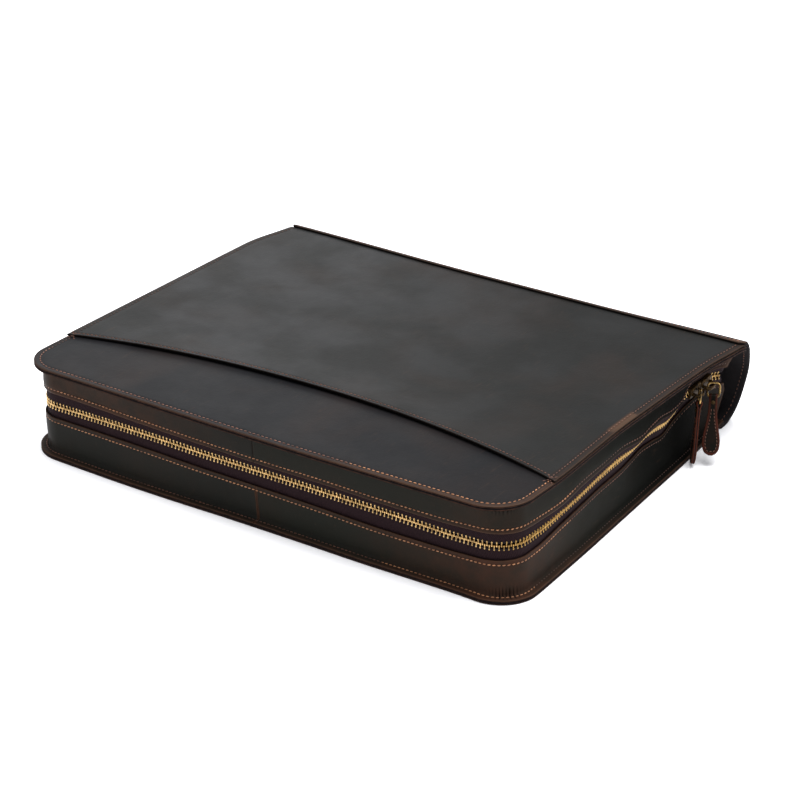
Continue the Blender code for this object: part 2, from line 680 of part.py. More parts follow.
def ring_frame(frame, hang):
    """Frame of a ring whose pull leans just so far that its tip is at the given height."""
    tip = Vector((0.0, -(RING_HEIGHT + RING_WIRE) / 2 - PULL_LENGTH, 0.0))
    low, high = 0.0, MOST_LEAN
    for _ in range(12):
        lean = (low + high) / 2
        if (hang_ring(frame, hang, lean) @ tip).z < hang.tip:
            low = lean
        else:
            high = lean
    return hang_ring(frame, hang, low)


def build_ring(case, hang, frame):
    """A rounded rectangular ring of wire round the slider's bridge."""
    half_width = (RING_WIDTH + RING_WIRE) / 2
    half_height = (RING_HEIGHT + RING_WIRE) / 2
    rounding = 1.3 * RING_WIRE
    points = []
    for corner in range(4):
        turn = corner * math.pi / 2
        centre_x = math.copysign(half_width - rounding, math.cos(turn + math.pi / 4))
        centre_y = math.copysign(half_height - rounding, math.sin(turn + math.pi / 4))
        for step in range(4):
            angle = turn + math.pi / 2 * step / 3
            points.append((centre_x + rounding * math.cos(angle), centre_y + rounding * math.sin(angle)))
    curve = bpy.data.curves.new(f"pull_ring_{hang.name}", "CURVE")
    curve.dimensions = "3D"
    curve.bevel_depth = RING_WIRE / 2
    curve.bevel_resolution = 1
    spline = curve.splines.new("POLY")
    spline.points.add(len(points) - 1)
    for target, (x, y) in zip(spline.points, points):
        target.co = (x, y, 0.0, 1.0)
    spline.use_cyclic_u = True
    ring = case.add(f"pull_ring_{hang.name}", curve, "antique_brass")
    ring.matrix_local = frame


def build_pull(case, hang, frame):
    """A strap folded round the ring's lower wire, its two layers widening to a rounded tip."""
    wire = -(RING_HEIGHT + RING_WIRE) / 2
    layer = PULL_LEATHER / 2 + PULL_LAYER_GAP / 2
    eye = RING_WIRE / 2 + GAP + PULL_LEATHER / 2
    layers = []
    for side in (1.0, -1.0):
        strap = []
        for row in PULL_OUTLINE:
            strap.append((wire - PULL_LENGTH * row.down, side * layer, row.wide * PULL_WIDTH / 2))
        layers.append(strap)
    neck = PULL_OUTLINE[0].wide * PULL_WIDTH / 2
    fold = []
    for step in range(FOLD_STEPS + 1):
        angle = math.radians(-40) + math.radians(260) * step / FOLD_STEPS
        fold.append((wire + eye * math.sin(angle), eye * math.cos(angle), neck))
    rows = []
    for y, z, half in reversed(layers[0]):
        rows.append([frame @ Vector((half * side, y, z)) for side in (-1.0, -0.5, 0.5, 1.0)])
    for y, z, half in fold + layers[1]:
        rows.append([frame @ Vector((half * side, y, z)) for side in (-1.0, -0.5, 0.5, 1.0)])
    pull = case.sheet(f"pull_tab_{hang.name}", rows, PULL_LEATHER, "pull_leather")
    hole = bmesh.new()
    bmesh.ops.create_cone(
        hole,
        cap_ends=True,
        segments=10,
        radius1=RIVET_SHANK / 2 + GAP,
        radius2=RIVET_SHANK / 2 + GAP,
        depth=10 * PULL_LEATHER,
    )
    mesh = bpy.data.meshes.new("rivet_hole")
    hole.to_mesh(mesh)
    hole.free()
    cutter = case.add_cutter(f"rivet_hole_{hang.name}", mesh)
    place = frame @ Matrix.Translation((0.0, wire - RIVET_BELOW_RING, 0.0))
    cutter.matrix_local = place
    cut(pull, cutter)
    build_rivet(case, hang, place, layer + PULL_LEATHER / 2 + GAP)


def build_rivet(case, hang, place, half_grip):
    """A turned rivet with a head on each side of the strap."""
    head = RIVET_HEAD / 2
    shank = RIVET_SHANK / 2
    end = half_grip + RIVET_HEAD_THICKNESS
    rim = half_grip + RIVET_HEAD_THICKNESS / 2
    profile = [(0, end), (head * 0.6, end), (head, rim), (head, half_grip), (shank, half_grip)]
    profile += [(x, -z) for x, z in reversed(profile)]
    mesh = bpy.data.meshes.new(f"pull_rivet_{hang.name}")
    shape = bmesh.new()
    points = [shape.verts.new((x, 0.0, z)) for x, z in profile]
    for near, far in zip(points, points[1:]):
        shape.edges.new((near, far))
    shape.to_mesh(mesh)
    shape.free()
    rivet = case.add(f"pull_rivet_{hang.name}", mesh, "antique_brass")
    turn = rivet.modifiers.new("turn", "SCREW")
    turn.steps = 10
    turn.render_steps = 10
    turn.use_merge_vertices = True
    turn.merge_threshold = 0.00001
    rivet.matrix_local = place


def main():
    """Clears the scene and builds the case."""
    for item in list(bpy.data.objects):
        bpy.data.objects.remove(item, do_unlink=True)
    case = Case()
    build_covers(case)
    build_pocket(case)
    build_spine(case)
    build_gussets(case)
    build_tapes(case)
    build_chain(case)
    for hang in HANGS:
        slider = build_slider(case, hang)
        ring = ring_frame(slider, hang)
        build_ring(case, hang, ring)
        build_pull(case, hang, ring)
    case.stand_on_floor()


main()
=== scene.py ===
"""Leather document case, dressed for its picture.

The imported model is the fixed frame. Each of its solids is stood for by a finer piece of the same
form, with cut edges, sewn rows, a toothed zip and stitched pulls. Points are first laid out in the
cutting frame: x 0 in the middle of the case, y 0 at the front left seam edge and z 0 on the floor.
Workshop.hand_over() then shifts them to the model's own frame.
"""

from __future__ import annotations

import sys
import logging
import math
from dataclasses import dataclass
from enum import Enum, Flag, auto
from typing import NamedTuple, Sequence

import bmesh
import bpy
import numpy as np
from mathutils import Matrix, Vector, noise


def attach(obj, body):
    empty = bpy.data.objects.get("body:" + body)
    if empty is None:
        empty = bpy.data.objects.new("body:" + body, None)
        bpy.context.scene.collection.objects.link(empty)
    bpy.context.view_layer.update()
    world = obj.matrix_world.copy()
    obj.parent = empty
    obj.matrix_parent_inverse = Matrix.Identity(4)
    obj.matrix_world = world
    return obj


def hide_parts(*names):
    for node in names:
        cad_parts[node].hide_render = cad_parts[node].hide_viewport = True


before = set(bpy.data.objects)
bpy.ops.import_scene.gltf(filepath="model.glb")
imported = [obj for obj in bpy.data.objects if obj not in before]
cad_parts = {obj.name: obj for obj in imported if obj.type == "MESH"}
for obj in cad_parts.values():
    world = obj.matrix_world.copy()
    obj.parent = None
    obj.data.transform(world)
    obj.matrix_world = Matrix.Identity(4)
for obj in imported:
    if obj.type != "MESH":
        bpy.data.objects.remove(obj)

MM = 0.001
ORIGIN = Vector((-3.7042, -148.4173, 0.0)) * MM  # cutting frame to the model's frame
UP = Vector((0.0, 0.0, 1.0))
LOG = logging.getLogger("document_case")

Line = list[tuple[Vector, Vector]]  # points of a seam, each with the way out of the surface


class Half(Enum):
    """The walls and tapes above and below the zip."""

    UPPER = "upper"
    LOWER = "lower"


class Border(Flag):
    """The four borders of a sheet's grid of points."""

    FIRST_ROW = auto()
    LAST_ROW = auto()
    FIRST_COLUMN = auto()
    LAST_COLUMN = auto()
    ALL = FIRST_ROW | LAST_ROW | FIRST_COLUMN | LAST_COLUMN


class Drift(NamedTuple):
    """Sideways shift of the seam edges, as shares of CaseForm.drift, by share of the depth."""

    depth: float
    left_top: float
    right_top: float
    left_bottom: float
    right_bottom: float


class Bow(NamedTuple):
    """Push of the front edges, as shares of CaseForm.front_bow, by share of the way across."""

    across: float
    top: float
    bottom: float


class Stretch(NamedTuple):
    """The zip and the walls at a share of the way round from the left back end."""

    way: float
    rise: float
    upper: float
    lower: float
    push: float
    turn: float


class Curl(NamedTuple):
    """Section of the spine behind the covers: shares of its bulge and height."""

    bulge: float
    height: float


class PullWidth(NamedTuple):
    """Outline of a pull: shares of its length from the ring and of its width."""

    down: float
    wide: float


class Hang(NamedTuple):
    """One slider's place, the turn of its ring, and the way and height to which its pull hangs."""

    name: str
    from_end: float
    turn: float
    heading: float
    tip: float


class Warmth(NamedTuple):
    """How brown the two walls have worn, and how much shade is painted on them, darkest towards the back of
    the right wall, at a share of the way round.
    """

    way: float
    upper: float
    lower: float
    dull: float


DRIFTS = (
    Drift(0.00, 0.00, 0.25, 0.06, 0.64),
    Drift(0.09, 0.00, 0.29, 0.04, 0.70),
    Drift(0.20, 0.00, 0.34, 0.00, 0.58),
    Drift(0.34, 0.00, 0.16, 0.00, 0.38),
    Drift(0.47, 0.00, 0.00, -0.05, 0.15),
    Drift(0.58, 0.00, 0.00, -0.12, -0.04),
    Drift(0.79, 0.00, 0.03, -0.30, -0.40),
    Drift(0.88, 0.07, 0.12, -0.42, -0.60),
    Drift(1.00, 0.72, 0.42, -0.60, -0.86),
    Drift(1.10, 0.80, 0.24, -0.65, -0.92),
)

BOWS = (
    Bow(0.00, 0.00, -0.50),
    Bow(0.06, 0.00, 0.00),
    Bow(0.15, 0.10, 0.50),
    Bow(0.24, 0.32, 0.80),
    Bow(0.35, 0.65, 0.70),
    Bow(0.45, 0.90, 0.35),
    Bow(0.60, 0.97, 0.25),
    Bow(0.72, 0.75, 0.35),
    Bow(0.83, 0.41, 0.00),
    Bow(0.90, 0.20, -0.10),
    Bow(0.96, 0.06, 0.30),
    Bow(1.00, 0.02, 0.60),
)

STRETCHES = (
    Stretch(0.000, 0.110, 0.85, 0.90, -0.30, 0.00),
    Stretch(0.060, 0.110, 0.95, 0.95, -0.40, 0.00),
    Stretch(0.120, 0.050, 1.00, 0.95, -0.05, 0.10),
    Stretch(0.200, 0.010, 1.00, 0.95, 0.22, 0.05),
    Stretch(0.275, -0.010, 1.00, 0.92, 0.32, 0.00),
    Stretch(0.332, -0.008, 1.04, 0.93, 0.06, 0.00),
    Stretch(0.404, 0.012, 0.80, 1.04, 0.12, 0.00),
    Stretch(0.455, 0.003, 0.76, 1.10, 0.08, 0.00),
    Stretch(0.507, 0.008, 0.67, 1.16, 0.12, 0.00),
    Stretch(0.556, 0.005, 0.70, 1.24, 0.08, 0.00),
    Stretch(0.603, 0.000, 0.66, 1.30, 0.12, 0.00),
    Stretch(0.650, -0.022, 0.84, 1.12, 0.12, 0.00),
    Stretch(0.680, -0.016, 0.94, 1.02, 0.10, 0.00),
    Stretch(0.729, -0.024, 0.94, 0.94, 0.36, 0.20),
    Stretch(0.754, -0.013, 0.88, 0.92, 0.38, 0.50),
    Stretch(0.780, 0.008, 1.00, 0.90, 0.44, 0.60),
    Stretch(0.810, 0.024, 0.86, 0.90, 0.36, 0.55),
    Stretch(0.838, 0.032, 0.84, 0.92, 0.34, 0.50),
    Stretch(0.862, 0.008, 0.84, 0.92, 0.14, 1.00),
    Stretch(0.878, 0.030, 0.86, 0.94, 0.02, 1.00),
    Stretch(0.893, 0.022, 0.90, 0.94, -0.05, 0.75),
    Stretch(0.908, -0.003, 0.90, 0.94, -0.06, 0.70),
    Stretch(0.925, 0.015, 0.88, 0.94, -0.32, 0.80),
    Stretch(0.935, 0.062, 0.86, 0.94, -0.48, 0.40),
    Stretch(0.946, 0.104, 0.86, 0.94, -0.58, 0.05),
    Stretch(0.967, 0.129, 0.80, 0.94, -0.62, 0.00),
    Stretch(0.985, 0.142, 0.64, 0.94, -0.60, 0.00),
    Stretch(1.000, 0.115, 0.56, 0.94, 0.00, 0.00),
)

CURLS = (
    Curl(0.00, 1.000),
    Curl(0.13, 0.965),
    Curl(0.34, 0.885),
    Curl(0.58, 0.790),
    Curl(0.80, 0.685),
    Curl(0.94, 0.590),
    Curl(1.00, 0.470),
    Curl(1.00, 0.350),
    Curl(0.95, 0.220),
    Curl(0.80, 0.115),
    Curl(0.54, 0.045),
    Curl(0.26, 0.010),
    Curl(0.00, 0.000),
)

PULL_WIDTHS = (
    PullWidth(0.07, 0.48),
    PullWidth(0.25, 0.50),
    PullWidth(0.45, 0.66),
    PullWidth(0.65, 0.90),
    PullWidth(0.78, 1.00),
    PullWidth(0.90, 0.90),
    PullWidth(0.97, 0.58),
    PullWidth(1.00, 0.22),
)

HANGS = (
    Hang("front", 37.3 * MM, math.radians(145), math.radians(161), 1.9 * MM),
    Hang("back", 21.5 * MM, math.radians(60), math.radians(153), 7.6 * MM),
)

# The last column is painted shade on both walls, darkest towards the back of the right side, which lies in
# shade.
WARMTHS = (
    Warmth(0.00, 0.30, 0.20, 0.00),
    Warmth(0.28, 0.55, 0.10, 0.00),
    Warmth(0.36, 0.65, 0.05, 0.00),
    Warmth(0.42, 0.45, 0.10, 0.00),
    Warmth(0.48, 0.12, 0.05, 0.05),
    Warmth(0.57, 0.00, 0.05, 0.00),
    Warmth(0.63, 0.05, 0.35, 0.00),
    Warmth(0.68, 0.30, 0.62, 0.00),
    Warmth(0.71, 0.15, 0.52, 0.00),
    Warmth(0.75, 0.00, 0.25, 0.05),
    Warmth(0.80, 0.00, 0.00, 0.25),
    Warmth(0.86, 0.00, 0.00, 0.60),
    Warmth(0.90, 0.10, 0.00, 0.90),
    Warmth(0.95, 0.40, 0.10, 0.95),
    Warmth(0.98, 0.80, 0.20, 0.70),
    Warmth(1.00, 1.20, 0.40, 0.40),
)


def ease(value: float) -> float:
    """A share from 0 to 1 with level ends."""
    value = min(max(value, 0.0), 1.0)
    return value * value * (3.0 - 2.0 * value)


def read_table(rows: Sequence[tuple], at: float) -> tuple:
    """Reads a table whose first column rises, on a smooth curve through all its rows.

    Args:
        rows: the table.
        at: the value of the first column.

    Returns:
        A row of the table's own kind.
    """
    at = min(max(at, rows[0][0]), rows[-1][0])
    last = len(rows) - 2
    index = 0
    while index < last and rows[index + 1][0] < at:
        index += 1
    low, high = rows[index], rows[index + 1]
    before, after = rows[max(index - 1, 0)], rows[min(index + 2, last + 1)]
    span = high[0] - low[0]
    share = (at - low[0]) / span
    rest = 1.0 - share
    values = []
    for column in range(1, len(low)):
        slope_low = span * (high[column] - before[column]) / (high[0] - before[0])
        slope_high = span * (after[column] - low[column]) / (after[0] - low[0])
        values.append(
            rest * rest * (1 + 2 * share) * low[column]
            + share * share * (3 - 2 * share) * high[column]
            + share * rest * (rest * slope_low - share * slope_high)
        )
    return type(low)(at, *values) if hasattr(low, "_fields") else (at, *values)


def steps_between(start: float, end: float, size: float) -> list[float]:
    """Even steps from start to end, both among them, each about as long as size."""
    count = max(1, round(abs(end - start) / size))
    return [start + (end - start) * step / count for step in range(count + 1)]


def linear(hex_colour: str) -> tuple[float, float, float, float]:
    """Turns an sRGB hex colour into the linear colour that a socket holds.

    Args:
        hex_colour: six hex digits after a hash mark.

    Returns:
        Red, green, blue and a full alpha.
    """
    parts = [int(hex_colour[at : at + 2], 16) / 255 for at in (1, 3, 5)]
    made = [part / 12.92 if part <= 0.04045 else ((part + 0.055) / 1.055) ** 2.4 for part in parts]
    return (*made, 1.0)


def set_inputs(tree: bpy.types.NodeTree, node: bpy.types.Node, values: dict) -> None:
    """Sets or links a node's inputs.

    Args:
        tree: the node's tree.
        node: the node.
        values: values by socket name or place; another node's socket is linked.
    """
    for name, value in values.items():
        if isinstance(value, bpy.types.NodeSocket):
            tree.links.new(value, node.inputs[name])
        else:
            node.inputs[name].default_value = value


def add_node(
    tree: bpy.types.NodeTree, kind: str, inputs: dict | None = None, out: int | str = 0, **settings: object
) -> bpy.types.NodeSocket | None:
    """Adds a node with its settings and links.

    Args:
        tree: the tree that gets the node.
        kind: Blender's name of the node's type.
        inputs: what set_inputs is to set. A colour Mix has its share at 0 and its colours at 6 and 7.
        out: name or place of the output that the caller needs. A colour Mix has its own at 2.
        settings: the node's own properties.

    Returns:
        That output, or nothing from a node that ends the tree.
    """
    made = tree.nodes.new(kind)
    for name, value in settings.items():
        setattr(made, name, value)
    set_inputs(tree, made, inputs or {})
    return made.outputs[out] if made.outputs else None


def add_object(name: str, data: bpy.types.ID) -> bpy.types.Object:
    """Puts a mesh, light or camera in the scene as an object at the origin.

    Args:
        name: the object's name.
        data: what it shows.

    Returns:
        The new object.
    """
    made = bpy.data.objects.new(name, data)
    bpy.context.scene.collection.objects.link(made)
    return made


def frame_at(across: Vector, up: Vector, place: Vector) -> Matrix:
    """Makes a frame of its axes.

    Args:
        across: its x axis.
        up: its y axis.
        place: its origin.

    Returns:
        The frame, its z axis square to both.
    """
    made = Matrix((across, up, across.cross(up))).transposed().to_4x4()
    made.translation = place
    return made


class Station(NamedTuple):
    """A place on the seam edge: share of the way round, edge point and the way out."""

    way: float
    edge: Vector
    outward: Vector


@dataclass(frozen=True)
class CaseForm:
    """The soft form on which every piece lies, with the sizes of the case."""

    width: float = 360 * MM
    depth: float = 275 * MM
    height: float = 61.6 * MM
    corner: float = 25 * MM
    flange: float = 6.5 * MM
    gap: float = 0.3 * MM
    cover: float = 1.4 * MM
    pocket: float = 1.2 * MM
    gusset: float = 1.3 * MM
    spine: float = 1.6 * MM
    tape: float = 1.0 * MM
    mouth_side: float = 47 * MM
    mouth_scoop: float = 27 * MM
    mouth_lift: float = 1.4 * MM
    mouth_fade: float = 40 * MM
    spine_lap: float = 7.2 * MM
    turn_room: float = 1.4 * MM
    spine_bulge: float = 16 * MM
    spine_corner: float = 3 * MM
    notch: float = 11 * MM
    notch_below: float = 16 * MM
    notch_reach: float = 80 * MM
    zip_above_middle: float = 4 * MM
    tape_showing: float = 8.5 * MM
    tape_width: float = 16.5 * MM
    tape_room: float = 5 * MM  # kept free between a tape and the flange
    chain_width: float = 7.4 * MM
    chain_thickness: float = 3.0 * MM
    drift: float = 10 * MM
    front_bow: float = 2.2 * MM
    bow_reach: float = 0.4  # share of the depth in which the front's bow dies out
    back_pull: float = 3.4 * MM  # how far the back is drawn forwards
    pull_reach: float = 0.45  # share of the width over which it grows from the left
    pull_from: float = 0.75  # share of the depth at which it starts
    pull_fade: float = 0.25
    top_sag: float = 1.6 * MM
    back_droop: float = 5.0 * MM
    droop_lead: float = 0.15  # share of the bend's length by which the droop comes before it
    droop_less: float = 0.4  # share of the droop that the right side lacks
    droop_less_from: float = 0.7
    droop_less_fade: float = 0.3
    bend_length: float = 16 * MM
    seam_inset: float = 4.0 * MM  # seam edge to the sewn row
    taut: float = 8 * MM  # the panels lie taut this far in from the seam edge
    taut_fade: float = 20 * MM
    bend_fade: float = 15 * MM  # they are even again this far before the bend
    dip_fade: float = 5 * MM  # the row's dip ends over this length before the spine

    @property
    def lower_flange(self) -> float:
        """Level of the lower flange's middle."""
        return self.cover + self.gap + self.gusset / 2

    @property
    def upper_flange(self) -> float:
        """Level of the upper flange's middle."""
        return self.height - self.cover - self.gap - self.gusset / 2

    @property
    def pocket_level(self) -> float:
        """Level of the pocket panel's middle."""
        return self.height + self.gap + self.pocket / 2

    @property
    def spine_top(self) -> float:
        """Level of the spine's middle over the covers."""
        return self.height + 2 * self.gap + self.pocket + self.spine / 2

    @property
    def zip_level(self) -> float:
        """Level of the zip before it rises and falls."""
        return self.height / 2 + self.zip_above_middle

    @property
    def bend_start(self) -> float:
        """Where the covers start to bend under the spine's lap."""
        return self.depth - self.bend_length

    @property
    def cover_end(self) -> float:
        """Where the covers and gussets end, inside the spine."""
        return self.depth + self.spine_lap - self.turn_room

    @property
    def zip_depth(self) -> float:
        """How far the tapes lie behind the gussets' middle."""
        return self.gusset / 2 + self.gap + self.tape / 2

    @property
    def way_length(self) -> float:
        """Length of the seam edge, from the left back end round to the right one."""
        return 2 * (self.cover_end - self.corner) + math.pi * self.corner + self.width - 2 * self.corner

    def settle(self, x: float, y: float, z: float, on_lap: bool = True) -> Vector:
        """Moves a point of the square case to where the soft leather lies.

        Args:
            x: place across the square case.
            y: place from its front edge back.
            z: height above the floor.
            on_lap: whether the piece rises over the spine's lower lap.

        Returns:
            The settled point.
        """
        level = min(max((z - self.lower_flange) / (self.upper_flange - self.lower_flange), 0.0), 1.0)
        across = x / self.width + 0.5
        inside = min(max(across, 0.0), 1.0)
        depth = y / self.depth
        drift = read_table(DRIFTS, depth)
        left = drift.left_bottom + (drift.left_top - drift.left_bottom) * level
        right = drift.right_bottom + (drift.right_top - drift.right_bottom) * level
        edge = read_table(BOWS, across)
        bow = self.front_bow * (edge.bottom + (edge.top - edge.bottom) * level)
        bow *= 1 - ease(depth / self.bow_reach)
        pull = self.back_pull * ease(across / self.pull_reach)
        pull *= ease((depth - self.pull_from) / self.pull_fade)
        sag = self.top_sag * math.sin(math.pi * inside) * math.sin(math.pi * min(depth, 1.0))
        bend = ease((y - self.depth) / self.bend_length + self.droop_lead)
        less = self.droop_less * ease((across - self.droop_less_from) / self.droop_less_fade)
        droop = self.back_droop * bend * (1 - less)
        moved_z = z - (sag + droop) * level * level
        if on_lap:
            rise = ease((y - self.bend_start) / (self.bend_length - self.gap))
            moved_z += (self.spine + self.gap) * rise * (1 - level) ** 2
        return Vector((x + self.drift * (left + (right - left) * across), y - bow - pull, moved_z))

    def station(self, length: float) -> Station:
        """Finds a place on the seam edge.

        Args:
            length: length along it, from the left back end.

        Returns:
            The station there.
        """
        side = self.cover_end - self.corner
        arc = math.pi / 2 * self.corner
        straight = self.width / 2 - self.corner
        way = length / self.way_length
        if length < side:
            return Station(way, Vector((-self.width / 2, self.cover_end - length)), Vector((-1.0, 0.0)))
        length -= side
        if length < arc:
            angle = math.pi + length / self.corner
            out = Vector((math.cos(angle), math.sin(angle)))
            return Station(way, Vector((-straight, self.corner)) + out * self.corner, out)
        length -= arc
        if length < 2 * straight:
            return Station(way, Vector((length - straight, 0.0)), Vector((0.0, -1.0)))
        length -= 2 * straight
        if length < arc:
            angle = -math.pi / 2 + length / self.corner
            out = Vector((math.cos(angle), math.sin(angle)))
            return Station(way, Vector((straight, self.corner)) + out * self.corner, out)
        length -= arc
        return Station(way, Vector((self.width / 2, self.corner + length)), Vector((1.0, 0.0)))

    def lengths(self, start: float, end: float, side_step: float, corner_step: float) -> list[float]:
        """Lengths along the seam edge, closer together at the two round corners.

        Args:
            start: first length.
            end: last length.
            side_step: about the distance on the straight runs.
            corner_step: about the distance at the corners.

        Returns:
            Rising lengths from start to end.
        """
        side = self.cover_end - self.corner
        arc = math.pi / 2 * self.corner
        front = self.width - 2 * self.corner
        beyond = 6 * MM  # the corners' swelling is met this far outside them
        marks = [side - beyond, side + arc + beyond]
        marks += [side + arc + front - beyond, side + 2 * arc + front + beyond]
        marks = [start] + [mark for mark in marks if start < mark < end] + [end]
        found = [start]
        for low, high in zip(marks, marks[1:]):
            middle = (low + high) / 2
            out = self.station(middle).outward
            size = corner_step if 0.01 < abs(out.x) < 0.99 else side_step
            found += steps_between(low, high, size)[1:]
        return found

    def stations(
        self, start: float, end: float, side_step: float = 2 * MM, corner_step: float = 1.5 * MM
    ) -> list[Station]:
        """Stations at the lengths that lengths() gives."""
        return [self.station(length) for length in self.lengths(start, end, side_step, corner_step)]

    def zip_height(self, way: float) -> float:
        """Height of the zip's middle line at a share of the way round."""
        return self.zip_level + self.height * read_table(STRETCHES, way).rise

    def wall_inset(self, way: float, height: float) -> float:
        """Finds how far in the gusset wall's middle surface stands.

        Args:
            way: share of the way round.
            height: height above the floor.

        Returns:
            Its distance from the seam edge.
        """
        stretch = read_table(STRETCHES, way)
        middle = self.zip_level + self.height * stretch.rise
        arch = math.sin(math.pi * height / self.height)
        room = self.upper_flange - middle if height > middle else middle - self.lower_flange
        share = min(max((height - middle) / room, -1.0), 1.0)
        swing = stretch.turn * math.sin(math.pi * share) * (1.0 - abs(share))
        return self.flange * (1.0 - stretch.push * arch - swing)

    def side_point(self, station: Station, inset: float, height: float) -> Vector:
        """Finds a settled point near the case's side, with the gussets' ends cut back at the zip.

        Args:
            station: place on the seam edge.
            inset: distance in from the seam edge.
            height: height above the floor.

        Returns:
            The point.
        """
        place = station.edge - station.outward * inset
        fade = ease((place.y - self.cover_end + self.notch_reach) / self.notch_reach)
        zip_end = self.zip_level + self.height * STRETCHES[-1].rise
        if height > zip_end:
            nearness = 1.0 - (height - zip_end) / (self.upper_flange - zip_end)
        else:
            nearness = 1.0 - (zip_end - height) / self.notch_below
        return self.settle(place.x, place.y - self.notch * fade * max(nearness, 0.0), height)

    def wall_point(self, station: Station, height: float, behind: float = 0.0) -> Vector:
        """Finds a settled point on the gusset wall's middle surface, or behind it along its normal.

        Args:
            station: place on the seam edge.
            height: height above the floor.
            behind: distance behind the surface.

        Returns:
            The point.
        """
        step = 0.5 * MM
        way = station.way
        slope = (self.wall_inset(way, height + step) - self.wall_inset(way, height - step)) / (2 * step)
        scale = behind / math.sqrt(1.0 + slope * slope)
        return self.side_point(station, self.wall_inset(way, height) + scale, height - slope * scale)

    def wall_outward(self, station: Station, height: float) -> Vector:
        """The way out of the gusset wall at a station and height."""
        return (self.wall_point(station, height) - self.wall_point(station, height, 2 * MM)).normalized()

    def gusset_edge(self, way: float, half: Half) -> float:
        """Finds a gusset's cut edge beside the zip.

        Args:
            way: share of the way round.
            half: upper or lower gusset.

        Returns:
            The edge's height.
        """
        stretch = read_table(STRETCHES, way)
        if half is Half.UPPER:
            return self.zip_height(way) + stretch.upper * self.tape_showing
        return self.zip_height(way) - stretch.lower * self.tape_showing

    def tape_end(self, way: float, half: Half) -> float:
        """Finds a tape's hidden edge behind its gusset.

        Args:
            way: share of the way round.
            half: upper or lower tape.

        Returns:
            The edge's height.
        """
        if half is Half.UPPER:
            return min(self.zip_height(way) + self.tape_width, self.upper_flange - self.tape_room)
        return max(self.zip_height(way) - self.tape_width, self.lower_flange + self.tape_room)

    def mouth(self, x: float) -> float:
        """Depth of the pocket's scooped mouth at a place across the case."""
        side = 2 * x / self.width
        return self.mouth_side + self.mouth_scoop * (1 - side * side)

    def mouth_rise(self, x: float, y: float) -> float:
        """How far the pocket panel stands off the cover near its mouth."""
        side = 2 * x / self.width
        return self.mouth_lift * (1 - side**4) * (1 - ease((y - self.mouth(x)) / self.mouth_fade))

    def inset_of(self, x: float, y: float) -> float:
        """Measures how far in from the seam edge a point of the square case lies.

        Args:
            x: place across the case.
            y: place from its front edge back.

        Returns:
            The distance, along the round at the corners.
        """
        straight = self.width / 2 - self.corner
        if abs(x) > straight and y < self.corner:
            return self.corner - math.hypot(abs(x) - straight, self.corner - y)
        return min(self.width / 2 - abs(x), y)


FORM = CaseForm()


@dataclass(frozen=True)
class Finish:
    """What every finish has: its name and a shader."""

    name: str

    def start(self) -> tuple[bpy.types.Material, bpy.types.NodeTree, bpy.types.Node]:
        """Makes the bare material.

        Returns:
            The material, its node tree and its shader.
        """
        made = bpy.data.materials.new(self.name)
        made.use_nodes = True
        return made, made.node_tree, made.node_tree.nodes["Principled BSDF"]

    def material(self) -> bpy.types.Material:
        """Builds the node material, in a way that each finish has of its own."""
        raise NotImplementedError


